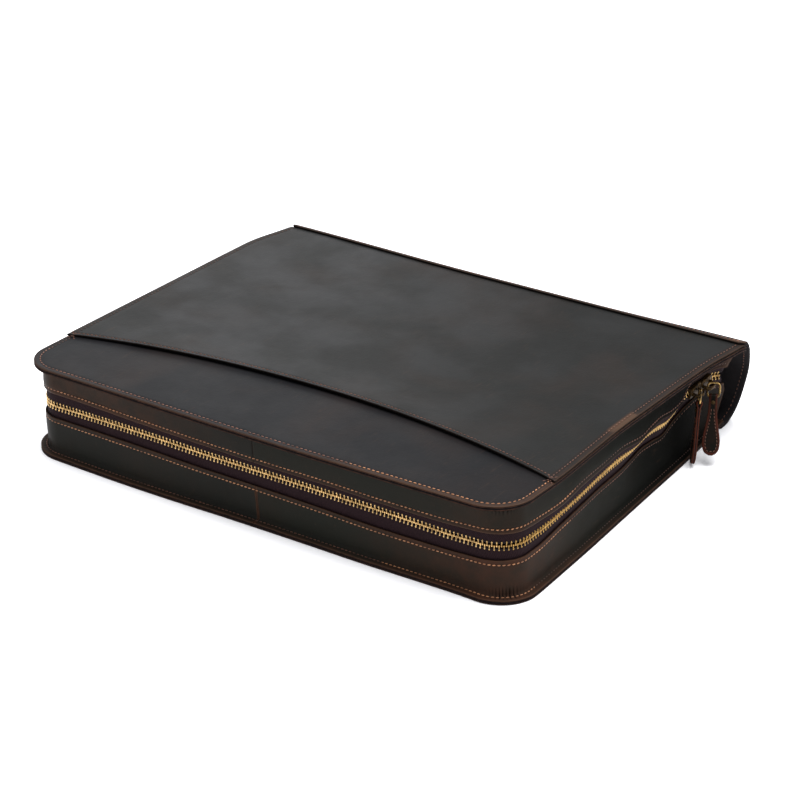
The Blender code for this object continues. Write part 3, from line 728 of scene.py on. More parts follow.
@dataclass(frozen=True)
class WaxedLeather(Finish):
    """Cowhide tanned with oil and waxes, full grain, with a cut edge.

    The waxes give the eye a nearly black brown; a grey haze mixed into the colour is a painted sheen on top,
    in soft clouds and strongest at the left. Where the hide is bent, rubbed or cut, the waxes move away and
    the red brown of the tanned fibre shows through.
    """

    dark: str = "#141413"
    brown: str = "#33241c"
    # grey of the painted sheen
    sheen_grey: str = "#2b2b2c"
    deep: str = "#080807"  # near black mixed in where the sheet is darkened: painted shade on the right wall and in the corner tucks, and a matt band beside the pocket's right seam
    rubbed: str = "#57402f"
    patch_mm: float = 70.0  # pull-up clouds on such a hide are 5 to 10 cm wide
    patches: float = 0.2
    sheen_cloud_mm: float = 48.0  # the painted sheen comes in soft clouds of 2 to 6 cm
    painted_sheen: float = 0.0  # share of the painted sheen, strongest at the left, where the top's reflection is brightest
    sheen_left: float = -130 * MM
    sheen_right: float = 150 * MM
    cloud_mm: float = 11.0
    scratch_mm: float = 2.2  # real scratches are finer, drawn coarser so that they show
    scratch_way: tuple[float, float, float] = (1.0, 0.12, 0.6)
    grain_mm: float = 1.4  # real grain is about 0.5 mm, drawn coarser so that it shows
    grain_height: float = 0.12 * MM
    cloud_relief: float = 2.5  # height of the clouds against the grain's
    wear_mm: float = 4.5  # reach of the rubbed band along a cut edge
    wear: float = 0.4
    fresh_mm: float = 0.9  # reach of the fibre that shows beside the cut
    roughness: float = 0.42
    matt: float = 0.4  # roughness that the darkened parts gain
    specular: float = 0.075

    def material(self) -> bpy.types.Material:
        """Builds the leather's node material.

        Returns:
            The material, which reads the sheet's edge and warm attributes and the one that darkens it, as
            painted shade and as a matt band.
        """
        made, tree, shader = self.start()
        place = add_node(tree, "ShaderNodeTexCoord", out="Object")
        across = add_node(tree, "ShaderNodeSeparateXYZ", {0: place})
        drawn = add_node(tree, "ShaderNodeVectorMath", {0: place, 1: self.scratch_way}, operation="MULTIPLY")
        edge, warm, dull = (
            add_node(tree, "ShaderNodeAttribute", out="Fac", attribute_name=name)
            for name in ("edge", "warm", "dull")
        )
        patch, cloud, scratch, sheen_clouds, grain = (
            add_node(
                tree,
                "ShaderNodeTexNoise",
                {
                    "Vector": at,
                    "Scale": 1 / (size * MM),
                    "Detail": fine,
                    "Roughness": rough,
                    "Distortion": warp,
                },
            )
            for at, size, fine, rough, warp in (
                (place, self.patch_mm, 3.0, 0.5, 0.8),
                (place, self.cloud_mm, 5.0, 0.62, 0.0),
                (drawn, self.scratch_mm, 4.0, 0.7, 0.0),
                (place, self.sheen_cloud_mm, 3.0, 0.5, 0.25),
                (place, self.grain_mm, 3.0, 0.6, 0.0),
            )
        )
        band, uneven, pulled, left, soft, fresh, scuffs, raw, gloss = (
            add_node(
                tree,
                "ShaderNodeMapRange",
                {"Value": value, "From Min": low, "From Max": high, "To Min": first, "To Max": last},
                interpolation_type=kind,
            )
            for value, low, high, first, last, kind in (
                (edge, 0.4, self.wear_mm, self.wear, 0.0, "SMOOTHSTEP"),
                (cloud, 0.35, 0.62, 0.55, 1.25, "LINEAR"),
                (patch, 0.45, 0.75, 0.0, self.patches, "LINEAR"),
                (across, self.sheen_left, self.sheen_right, self.painted_sheen, 0.25 * self.painted_sheen, "LINEAR"),
                (sheen_clouds, 0.34, 0.66, 0.2, 1.3, "SMOOTHSTEP"),
                (edge, 0.0, self.fresh_mm, 0.35, 0.0, "LINEAR"),
                (scratch, 0.60, 0.80, 0.0, 0.16, "LINEAR"),
                (warm, 1.0, 2.0, 0.0, 1.0, "LINEAR"),
                (cloud, 0.3, 0.7, self.roughness - 0.02, self.roughness + 0.03, "LINEAR"),
            )
        )
        worn = add_node(tree, "ShaderNodeMath", {0: band, 1: uneven}, operation="MULTIPLY")
        warmed = add_node(tree, "ShaderNodeMath", {0: warm, 1: uneven, 2: pulled}, operation="MULTIPLY_ADD")
        browned = add_node(tree, "ShaderNodeMath", {0: warmed, 1: worn}, operation="ADD", use_clamp=True)
        # Painted sheen: grey haze in soft clouds, fading from the left towards the right.
        sheened = add_node(tree, "ShaderNodeMath", {0: left, 1: soft}, operation="MULTIPLY")
        bare = add_node(tree, "ShaderNodeMath", {0: fresh, 1: scuffs}, operation="MAXIMUM")
        bare = add_node(tree, "ShaderNodeMath", {0: bare, 1: raw}, operation="MAXIMUM")
        colour = linear(self.dark)
        # The darkening attribute mixes in deep: painted shade on the right wall and in the corner tucks, and
        # a matt band beside the pocket's right seam.
        layers = ((browned, self.brown), (sheened, self.sheen_grey), (dull, self.deep), (bare, self.rubbed))
        for share, tone in layers:
            colour = add_node(
                tree, "ShaderNodeMix", {0: share, 6: colour, 7: linear(tone)}, out=2, data_type="RGBA"
            )
        matt = add_node(tree, "ShaderNodeMath", {0: dull, 1: self.matt, 2: gloss}, operation="MULTIPLY_ADD")
        relief = {0: cloud, 1: self.cloud_relief, 2: grain}
        relief = add_node(tree, "ShaderNodeMath", relief, operation="MULTIPLY_ADD")
        bump = add_node(
            tree, "ShaderNodeBump", {"Height": relief, "Strength": 0.35, "Distance": self.grain_height}
        )
        set_inputs(
            tree,
            shader,
            {"Base Color": colour, "Roughness": matt, "Normal": bump, "Specular IOR Level": self.specular},
        )
        return made


@dataclass(frozen=True)
class Mottled(Finish):
    """A finish that wanders between two tones, with a fine relief."""

    first: str
    second: str
    spot_mm: float = 5.0
    detail: float = 5.0
    low: float = 0.35
    high: float = 0.7
    relief: float = 0.4
    relief_mm: float = 0.15
    roughness: float = 0.85
    specular: float = 0.08

    def material(self) -> bpy.types.Material:
        """Builds the two-tone node material.

        Returns:
            The material.
        """
        made, tree, shader = self.start()
        place = add_node(tree, "ShaderNodeTexCoord", out="Object")
        spots = add_node(
            tree,
            "ShaderNodeTexNoise",
            {"Vector": place, "Scale": 1 / (self.spot_mm * MM), "Detail": self.detail, "Roughness": 0.7},
        )
        reach = {"Value": spots, "From Min": self.low, "From Max": self.high}
        share = add_node(tree, "ShaderNodeMapRange", reach)
        colours = {0: share, 6: linear(self.first), 7: linear(self.second)}
        colour = add_node(tree, "ShaderNodeMix", colours, out=2, data_type="RGBA")
        if self.relief:
            height = {"Height": spots, "Strength": self.relief, "Distance": self.relief_mm * MM}
            set_inputs(tree, shader, {"Normal": add_node(tree, "ShaderNodeBump", height)})
        shine = {"Roughness": self.roughness, "Specular IOR Level": self.specular}
        set_inputs(tree, shader, {"Base Color": colour, **shine})
        return made


@dataclass(frozen=True)
class CutEdge(Mottled):
    """The bare cut through tanned hide: matt red brown fibre, a little uneven."""

    name: str = "cut_hide_edge"
    first: str = "#1a100c"
    second: str = "#38231a"


@dataclass(frozen=True)
class FleshSide(Mottled):
    """The split inner face of the hide: dark napped fibre without shine."""

    name: str = "hide_flesh_side"
    first: str = "#121012"
    second: str = "#201c1d"
    spot_mm: float = 3.0
    detail: float = 6.0
    low: float = 0.0
    high: float = 1.0
    relief: float = 0.5
    relief_mm: float = 0.2
    roughness: float = 0.9
    specular: float = 0.2


@dataclass(frozen=True)
class WaxedThread(Mottled):
    """Bonded polyester sewing thread, waxed: a satin tan, darker where it has taken up dirt."""

    spot_mm: float = 9.0
    detail: float = 4.0
    low: float = 0.38
    high: float = 0.66
    relief: float = 0.0
    roughness: float = 0.55
    specular: float = 0.35


@dataclass(frozen=True)
class WovenTape(Finish):
    """Dyed polyester zip tape in herringbone twill: matt, with fine slanted ribs."""

    name: str = "herringbone_zip_tape"
    dark: str = "#130a0c"
    light: str = "#27171b"
    rib_mm: float = 1.0  # real ribs are about 0.5 mm apart, drawn coarser so that they show
    rib_height: float = 0.15 * MM
    zigzag_mm: float = 3.0  # width of one run of the herringbone

    def material(self) -> bpy.types.Material:
        """Builds the tape's node material.

        Returns:
            The material, which reads the tape's flat map in metres.
        """
        made, tree, shader = self.start()
        flat = add_node(tree, "ShaderNodeUVMap", uv_map="flat")
        flat = add_node(tree, "ShaderNodeSeparateXYZ", {0: flat}).node.outputs
        fold = add_node(tree, "ShaderNodeMath", {0: flat["Y"], 1: self.zigzag_mm * MM}, operation="PINGPONG")
        slant = add_node(tree, "ShaderNodeMath", {0: flat["X"], 1: fold}, operation="ADD")
        rib_turns = 2 * math.pi / (self.rib_mm * MM)
        turns = add_node(tree, "ShaderNodeMath", {0: slant, 1: rib_turns}, operation="MULTIPLY")
        wave = add_node(tree, "ShaderNodeMath", {0: turns}, operation="SINE")
        rib = add_node(tree, "ShaderNodeMapRange", {"Value": wave, "From Min": -1.0})
        colours = {0: rib, 6: linear(self.dark), 7: linear(self.light)}
        colour = add_node(tree, "ShaderNodeMix", colours, out=2, data_type="RGBA")
        bump = add_node(tree, "ShaderNodeBump", {"Height": rib, "Strength": 0.6, "Distance": self.rib_height})
        shine = {"Roughness": 0.85, "Specular IOR Level": 0.1}
        set_inputs(tree, shader, {"Base Color": colour, "Normal": bump, **shine})
        return made


@dataclass(frozen=True)
class Brass(Finish):
    """Copper and zinc alloy: polished teeth are bright gold, antiqued castings are browned in the hollows."""

    bright: str
    tarnish: str
    tarnish_mm: float
    tarnished: float
    roughness: float
    oxide: float = 0.0  # how far the tarnish has turned to a crust that is no longer metal
    shaded_right: str = ""  # darker colour towards the case's right side: painted shade, as that side lies in shade
    shaded_right_from: float = 158 * MM
    shaded_right_to: float = 175 * MM

    def material(self) -> bpy.types.Material:
        """Builds the brass's node material.

        Returns:
            The material.
        """
        made, tree, shader = self.start()
        place = add_node(tree, "ShaderNodeTexCoord", out="Object")
        spots = {"Vector": place, "Scale": 1 / (self.tarnish_mm * MM), "Detail": 4.0, "Roughness": 0.6}
        stain = add_node(tree, "ShaderNodeTexNoise", spots)
        stained = {"Value": stain, "From Min": 0.4, "From Max": 0.65, "To Max": self.tarnished}
        share = add_node(tree, "ShaderNodeMapRange", stained)
        colour = linear(self.bright)
        layers = [(share, self.tarnish)]
        # Painted shade: the teeth turn darker towards the case's right side.
        if self.shaded_right:
            side = add_node(tree, "ShaderNodeSeparateXYZ", {0: place})
            reach = {"Value": side, "From Min": self.shaded_right_from, "From Max": self.shaded_right_to}
            layers.insert(0, (add_node(tree, "ShaderNodeMapRange", reach), self.shaded_right))
        for over, tone in layers:
            colour = add_node(
                tree, "ShaderNodeMix", {0: over, 6: colour, 7: linear(tone)}, out=2, data_type="RGBA"
            )
        shader.inputs["Metallic"].default_value = 1.0
        if self.oxide:
            bare = {"Value": share, "To Min": 1.0, "To Max": 1.0 - self.oxide}
            metal = add_node(tree, "ShaderNodeMapRange", bare)
            set_inputs(tree, shader, {"Metallic": metal, "Specular IOR Level": 0.15})
        polish = {"Value": stain, "To Min": self.roughness - 0.08, "To Max": self.roughness + 0.12}
        gloss = add_node(tree, "ShaderNodeMapRange", polish)
        set_inputs(tree, shader, {"Base Color": colour, "Roughness": gloss})
        return made


@dataclass(frozen=True)
class PaperGround(Finish):
    """Matt white photographer's paper: even, without shine, lit from below so that shadows stay thin."""

    name: str = "white_ground_paper"
    white: str = "#f4f4f6"
    glow: float = 0.15

    def material(self) -> bpy.types.Material:
        """Builds the ground's material.

        Returns:
            The material.
        """
        made, tree, shader = self.start()
        white = linear(self.white)
        shine = {"Roughness": 1.0, "Specular IOR Level": 0.0}
        glowing = {"Base Color": white, "Emission Color": white, "Emission Strength": self.glow}
        set_inputs(tree, shader, glowing | shine)
        return made


FINISHES: dict[str, Finish] = {
    # The cover and the pocket carry a painted sheen.
    "cover": WaxedLeather("waxed_cowhide_cover", dark="#131315", painted_sheen=0.2, specular=0.052),
    "pocket": WaxedLeather("waxed_cowhide_pocket", painted_sheen=0.58, specular=0.074),
    "gusset": WaxedLeather(
        "waxed_cowhide_gusset", dark="#181916", brown="#36241a", patches=0.12, roughness=0.5, specular=0.055
    ),
    # Copy of the gusset leather with less shine for the right strips: painted shade, as the right side lies
    # in shade.
    "shaded_gusset": WaxedLeather(
        "waxed_cowhide_gusset_matt",
        dark="#1d1e1a",
        brown="#39251c",
        patches=0.12,
        roughness=0.55,
        specular=0.04,
    ),
    "spine": WaxedLeather("waxed_cowhide_spine", brown="#2a1d16", patches=0.1, wear=0.12, roughness=0.5),
    "pull": WaxedLeather(
        "waxed_cowhide_pull",
        dark="#080a07",
        brown="#381a13",
        rubbed="#442217",
        patch_mm=20.0,
        wear_mm=2.0,
        wear=1.1,
        specular=0.04,
    ),
    "cut": CutEdge(),
    # A near black cut edge: painted shade, for the shade under the pocket's mouth and in front of the spine's
    # lap edge.
    "shaded_cut": CutEdge("waxed_hide_edge", "#0d0a09", "#1c1512"),
    "pull_cut": CutEdge("burnished_pull_edge", "#33170f", "#4c2519"),
    "flesh": FleshSide(),
    "tape": WovenTape(),
    "teeth": Brass("polished_brass_teeth", "#e9c284", "#5e4122", 4.0, 0.6, 0.28, shaded_right="#ae8a4e"),
    "antique": Brass("antiqued_brass", "#4e3a1e", "#080605", 2.5, 1.0, 0.6, oxide=0.9),
    "ring": Brass("rubbed_brass_wire", "#b08f58", "#171009", 4.5, 1.0, 0.3, oxide=0.6),
    "thread": WaxedThread("waxed_thread_tan", "#b98058", "#704832"),
    "pale_thread": WaxedThread("waxed_thread_faded", "#865c4b", "#50352a"),
    "sunk_thread": WaxedThread("waxed_thread_sunk", "#40271d", "#291a14"),
    "dull_thread": WaxedThread("waxed_thread_dulled", "#643f30", "#3a241a"),
    "ground": PaperGround(),
}


class SeamWork:
    """Geometry Nodes trees for what repeats along a line or follows it."""

    KINDS = {"Line": "Geometry", "Seed": "Int", "Sides": "Int", "Tooth": "Object", "Finish": "Material"}

    def __init__(self) -> None:
        """Builds the three trees."""
        self.stitches = self.stitch_tree()
        self.teeth = self.teeth_tree()
        self.cord = self.cord_tree()

    def new_tree(
        self, name: str, *labels: str
    ) -> tuple[bpy.types.NodeTree, bpy.types.NodeOutputs, bpy.types.NodeSocket]:
        """Makes a tree that works on a line and has a finish.

        Args:
            name: the tree's name.
            labels: names of its other inputs, numbers unless KINDS says otherwise.

        Returns:
            The tree, the group input's sockets by name, and the line as a curve.
        """
        tree = bpy.data.node_groups.new(name, "GeometryNodeTree")
        for label in ("Line", *labels, "Finish"):
            kind = f"NodeSocket{self.KINDS.get(label, 'Float')}"
            tree.interface.new_socket(name=label, in_out="INPUT", socket_type=kind)
        tree.interface.new_socket(name="Geometry", in_out="OUTPUT", socket_type="NodeSocketGeometry")
        given = add_node(tree, "NodeGroupInput").node.outputs
        return tree, given, add_node(tree, "GeometryNodeMeshToCurve", {"Mesh": given["Line"]})

    @staticmethod
    def end_tree(tree: bpy.types.NodeTree, made: bpy.types.NodeSocket, finish: bpy.types.NodeSocket) -> None:
        """Ends a tree in real, smooth mesh with its finish.

        Args:
            tree: the tree.
            made: its geometry so far.
            finish: the material.
        """
        made = add_node(tree, "GeometryNodeRealizeInstances", {"Geometry": made})
        made = add_node(tree, "GeometryNodeSetShadeSmooth", {"Geometry": made})
        made = add_node(tree, "GeometryNodeSetMaterial", {"Geometry": made, "Material": finish})
        add_node(tree, "NodeGroupOutput", {"Geometry": made})

    @staticmethod
    def turn_along(tree: bpy.types.NodeTree, ahead: bpy.types.NodeSocket) -> bpy.types.NodeSocket:
        """The turn that brings x to a way along the line and z to the way out of the surface.

        Args:
            tree: the tree.
            ahead: the way along the line.

        Returns:
            The rotation at each spot.
        """
        named = "GeometryNodeInputNamedAttribute"
        outward = add_node(tree, named, {"Name": "outward"}, data_type="FLOAT_VECTOR")
        axes = {"Primary Axis": outward, "Secondary Axis": ahead}
        return add_node(tree, "FunctionNodeAxesToRotation", axes, primary_axis="Z", secondary_axis="X")

    def stitch_tree(self) -> bpy.types.NodeTree:
        """Sews slanted stitches along a line, each a short waxed thread that dives at both ends.

        Returns:
            The tree.
        """
        tree, given, curve = self.new_tree("stitch_row", "Pitch", "Length", "Thread", "Slant", "Seed")
        spots = {"Curve": curve, "Length": given["Pitch"]}
        spots = add_node(tree, "GeometryNodeResampleCurve", spots, mode="LENGTH")
        turn = self.turn_along(tree, add_node(tree, "GeometryNodeInputTangent"))
        uneven = {2: -0.06, 3: 0.06, "Seed": given["Seed"]}  # radians
        wobble = add_node(tree, "FunctionNodeRandomValue", uneven, out=1, data_type="FLOAT")
        angle = add_node(tree, "ShaderNodeMath", {0: given["Slant"], 1: wobble}, operation="ADD")
        slant = add_node(tree, "FunctionNodeAxisAngleToRotation", {"Axis": (0.0, 0.0, 1.0), "Angle": angle})
        slant = {"Rotation": turn, "Rotate By": slant}
        turned = add_node(tree, "FunctionNodeRotateRotation", slant, rotation_space="LOCAL")
        ball = add_node(tree, "GeometryNodeMeshUVSphere", {"Segments": 6, "Rings": 4, "Radius": 0.5})
        quarter_turn = (0.0, math.pi / 2, 0.0)
        lying = add_node(tree, "GeometryNodeTransform", {"Geometry": ball, "Rotation": quarter_turn})
        size = {"X": given["Length"], "Y": given["Thread"], "Z": given["Thread"]}
        size = add_node(tree, "ShaderNodeCombineXYZ", size)
        stitch = add_node(tree, "GeometryNodeTransform", {"Geometry": lying, "Scale": size})
        sewn = {"Points": spots, "Instance": stitch, "Rotation": turned}
        self.end_tree(tree, add_node(tree, "GeometryNodeInstanceOnPoints", sewn), given["Finish"])
        return tree

    def teeth_tree(self) -> bpy.types.NodeTree:
        """Sets two rows of teeth along a line, each between two of the other row.

        Returns:
            The tree.
        """
        tree, given, curve = self.new_tree("zip_teeth", "Half pitch", "Tooth")
        spots = {"Curve": curve, "Length": given["Half pitch"]}
        spots = add_node(tree, "GeometryNodeResampleCurve", spots, mode="LENGTH")
        tangent = add_node(tree, "GeometryNodeInputTangent")
        index = add_node(tree, "GeometryNodeInputIndex")
        odd = add_node(tree, "ShaderNodeMath", {0: index, 1: 2.0}, operation="MODULO")
        side = add_node(tree, "ShaderNodeMath", {0: odd, 1: 2.0, 2: -1.0}, operation="MULTIPLY_ADD")
        ahead = add_node(tree, "ShaderNodeVectorMath", {0: tangent, "Scale": side}, operation="SCALE")
        turn = self.turn_along(tree, ahead)
        tooth = {"Object": given["Tooth"], "As Instance": True}
        tooth = add_node(tree, "GeometryNodeObjectInfo", tooth, out="Geometry")
        placed = {"Points": spots, "Instance": tooth, "Rotation": turn}
        self.end_tree(tree, add_node(tree, "GeometryNodeInstanceOnPoints", placed), given["Finish"])
        return tree

    def cord_tree(self) -> bpy.types.NodeTree:
        """Sweeps a round section along a line, for wire and for the tapes' sewn-in cords.

        Returns:
            The tree.
        """
        tree, given, curve = self.new_tree("round_cord", "Radius", "Sides")
        ring = {"Resolution": given["Sides"], "Radius": given["Radius"]}
        ring = add_node(tree, "GeometryNodeCurvePrimitiveCircle", ring, mode="RADIUS")
        swept = {"Curve": curve, "Profile Curve": ring, "Fill Caps": True}
        self.end_tree(tree, add_node(tree, "GeometryNodeCurveToMesh", swept), given["Finish"])
        return tree


class Workshop:
    """Makes the finishes, cuts sheets, runs the trees and hands finished pieces to the frame."""

    far_inside: float = 100 * MM  # stands for no cut edge near by
    softened: float = 0.25 * MM  # reach of the rounding of a cut edge
    edge_thickness: float = 0.55  # share of the thickness that is left at a cut edge
    stitch_slant: float = math.radians(7)

    def __init__(self) -> None:
        """Makes the finishes and the trees."""
        self.finishes = {name: finish.material() for name, finish in FINISHES.items()}
        self.seams = SeamWork()

    def sheet(
        self,
        name: str,
        points: np.ndarray,
        thickness: float,
        finish: str,
        facing: Vector,
        raw: Border = Border.ALL,
        edge: np.ndarray | None = None,
        warm: np.ndarray | float = 0.0,
        dull: np.ndarray | float = 0.0,
        flesh: str = "flesh",
        rim: str = "cut",
    ) -> bpy.types.Object:
        """Cuts a sheet through a grid of points and gives it both faces and a softened cut edge.

        Args:
            name: the piece's name.
            points: grid of places of the sheet's middle, rows by columns by three.
            thickness: of the hide or cloth.
            finish: finish of the outer face.
            facing: way out of the outer face in the middle of the grid.
            raw: borders that are cut edges.
            edge: distance of each point to the nearest cut edge, where the grid can't tell.
            warm: how brown each point has worn.
            dull: how far each point is darkened and made matt: painted shade on the right wall and in the
                corner tucks, and a matt band on the pocket.
            flesh: finish of the inner face.
            rim: finish of the cut edge.

        Returns:
            The finished sheet, still in the cutting frame.
        """
        points = np.array(points)
        rows, columns = points.shape[:2]
        down = np.zeros((rows, columns))
        down[1:] = np.cumsum(np.linalg.norm(np.diff(points, axis=0), axis=2), axis=0)
        across = np.zeros((rows, columns))
        across[:, 1:] = np.cumsum(np.linalg.norm(np.diff(points, axis=1), axis=2), axis=1)
        nearest = np.full((rows, columns), self.far_inside) if edge is None else np.array(edge)
        for border, distance in (
            (Border.FIRST_ROW, down),
            (Border.LAST_ROW, down[-1] - down),
            (Border.FIRST_COLUMN, across),
            (Border.LAST_COLUMN, across[:, -1:] - across),
        ):
            if border in raw:
                nearest = np.minimum(nearest, distance)
        middle = points[rows // 2, columns // 2]
        one = points[rows // 2 + 1, columns // 2] - middle
        other = points[rows // 2, columns // 2 + 1] - middle
        way = -1 if float(np.dot(np.cross(one, other), facing)) < 0 else 1
        corners = [row * columns + column for row in range(rows - 1) for column in range(columns - 1)]
        faces = [(at, at + columns, at + columns + 1, at + 1)[::way] for at in corners]
        mesh = bpy.data.meshes.new(name)
        mesh.from_pydata(points.reshape(-1, 3).tolist(), [], faces)
        for layer_name, given in (("edge", nearest / MM), ("warm", warm), ("dull", dull)):
            values = np.broadcast_to(np.array(given, np.float32), (rows, columns)).ravel()
            mesh.attributes.new(layer_name, "FLOAT", "POINT").data.foreach_set("value", values)
        ends = np.zeros(len(mesh.loops), np.int32)
        mesh.loops.foreach_get("vertex_index", ends)
        flat = np.stack((down.ravel()[ends], across.ravel()[ends]), axis=1)
        mesh.uv_layers.new(name="flat").uv.foreach_set("vector", flat.astype(np.float32).ravel())
        for part in (finish, flesh, rim):
            mesh.materials.append(self.finishes[part])
        piece = add_object(name, mesh)
        full = piece.vertex_groups.new(name="full")
        full.add(np.flatnonzero(nearest.ravel() > self.softened).tolist(), 1.0, "REPLACE")
        wall = piece.modifiers.new("thickness", "SOLIDIFY")
        wall.thickness = thickness
        wall.offset = 0.0
        wall.use_even_offset = True
        wall.material_offset = 1
        wall.material_offset_rim = 2
        wall.vertex_group = full.name
        wall.thickness_vertex_group = self.edge_thickness
        self.settle_mesh(piece)
        piece.data.shade_smooth()
        return piece

    def settle_mesh(self, piece: bpy.types.Object) -> None:
        """Turns a piece with modifiers into a plain mesh.

        Args:
            piece: the piece, which keeps its object.
        """
        bpy.context.view_layer.update()
        graph = bpy.context.evaluated_depsgraph_get()
        mesh = bpy.data.meshes.new_from_object(piece.evaluated_get(graph))
        piece.modifiers.clear()
        piece.vertex_groups.clear()
        piece.data = mesh

    def line_object(self, name: str, lines: Sequence[Line], closed: bool = False) -> bpy.types.Object:
        """A mesh of plain edges along seams, which carries the way out of the surface.

        Args:
            name: the object's name.
            lines: the seams.
            closed: whether each seam's end joins its start.

        Returns:
            The object.
        """
        points: list[Vector] = []
        outward: list[float] = []
        edges = []
        for line in lines:
            first = len(points)
            for point, out in line:
                points.append(point)
                outward += list(out)
            edges += [(at, at + 1) for at in range(first, len(points) - 1)]
            if closed:
                edges.append((len(points) - 1, first))
        mesh = bpy.data.meshes.new(name)
        mesh.from_pydata(points, edges, [])
        mesh.attributes.new("outward", "FLOAT_VECTOR", "POINT").data.foreach_set("vector", outward)
        return add_object(name, mesh)

    def grow(self, piece: bpy.types.Object, tree: bpy.types.NodeTree, values: dict) -> bpy.types.Object:
        """Runs a tree on a piece and keeps its result as a plain mesh.

        Args:
            piece: the line that the tree works on.
            tree: one of SeamWork's trees.
            values: the tree's inputs by name.

        Returns:
            The same piece with its new mesh.
        """
        modifier = piece.modifiers.new(tree.name, "NODES")
        modifier.node_group = tree
        for item in tree.interface.items_tree:
            if item.item_type == "SOCKET" and item.in_out == "INPUT" and item.name in values:
                modifier[item.identifier] = values[item.name]
        self.settle_mesh(piece)
        return piece

    def sew(
        self,
        name: str,
        lines: Sequence[Line],
        thread: str = "thread",
        pitch: float = 2.85 * MM,
        length: float = 2.0 * MM,
        width: float = 0.8 * MM,
        seed: int = 1,
    ) -> bpy.types.Object:
        """Sews rows of stitches along lines and hands them over.

        Args:
            name: the piece's name.
            lines: the rows.
            thread: finish of the thread.
            pitch: stitch to stitch.
            length: of one stitch.
            width: of the thread.
            seed: of the small unevenness.

        Returns:
            The stitches.
        """
        piece = self.grow(
            self.line_object(name, lines),
            self.seams.stitches,
            {
                "Pitch": pitch,
                "Length": length,
                "Thread": width,
                "Slant": self.stitch_slant,
                "Seed": seed,
                "Finish": self.finishes[thread],
            },
        )
        return self.hand_over(piece)

    def hand_over(
        self, piece: bpy.types.Object, slot: str | None = None, replaces: Sequence[str] = ()
    ) -> bpy.types.Object:
        """Shifts a piece to the model's frame and makes it ride on the case.

        Args:
            piece: the finished mesh in the cutting frame.
            slot: not used.
            replaces: CAD nodes that it stands for.

        Returns:
            The same piece.
        """
        piece.data.transform(Matrix.Translation(ORIGIN))
        piece.data.update()
        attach(piece, "root")
        if replaces:
            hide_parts(*replaces)
        LOG.info("%s: %d faces", piece.name, len(piece.data.polygons))
        return piece


def loft(name: str, rings: Sequence[Sequence[Vector]], closed: bool = False) -> bpy.types.Mesh:
    """Skins a run of rings of points into one closed mesh.

    Args:
        name: the mesh's name.
        rings: rings with equal numbers of points.
        closed: whether the last ring joins the first.

    Returns:
        The mesh, its faces outwards.
    """
    shape = bmesh.new()
    made = [[shape.verts.new(point) for point in ring] for ring in rings]
    pairs = list(zip(made, made[1:]))
    if closed:
        pairs.append((made[-1], made[0]))
    for near, far in pairs:
        for at in range(len(near)):
            after = (at + 1) % len(near)
            shape.faces.new((near[at], near[after], far[after], far[at]))
    if not closed:
        shape.faces.new(made[0][::-1])
        shape.faces.new(made[-1])
    bmesh.ops.recalc_face_normals(shape, faces=shape.faces)
    mesh = bpy.data.meshes.new(name)
    shape.to_mesh(mesh)
    shape.free()
    return mesh


def border_steps(reach: float, step: float) -> list[float]:
    """Spaces a grid's lines close together over a cut edge and its sewn row.

    Args:
        reach: distance of the last line from the cut edge.
        step: about the distance between the lines farther in.

    Returns:
        Rising distances from the cut edge.
    """
    near = [0.0, 0.6, 1.4, 2.2, 3.0, 3.5, 4.0, 4.5, 5.2, 6.5, 8.5]
    near = [value * MM for value in near if value * MM < reach - step / 2]
    return near + steps_between(near[-1], reach, step)[1:]


def sewn_dip(distance: float, inset: float, depth: float = 0.24 * MM) -> float:
    """How far a row of stitches pulls the hide in, at a distance from the cut edge."""
    return depth * math.exp(-(((distance - inset) / (1.1 * MM)) ** 2))


def ripple(point: Vector, size: float, seed: float) -> float:
    """Even unevenness of soft hide, from -1 to 1, at a size."""
    return noise.noise(point / size + Vector((seed, 2.3 * seed, 0.7 * seed)))


@dataclass(frozen=True)
class Piecework:
    """What every sub-assembly works with: the workshop and the case's form."""

    shop: Workshop
    form: CaseForm = FORM

    def build(self) -> None:
        """Builds the pieces and hands them over, in a way that each sub-assembly has of its own."""
        raise NotImplementedError


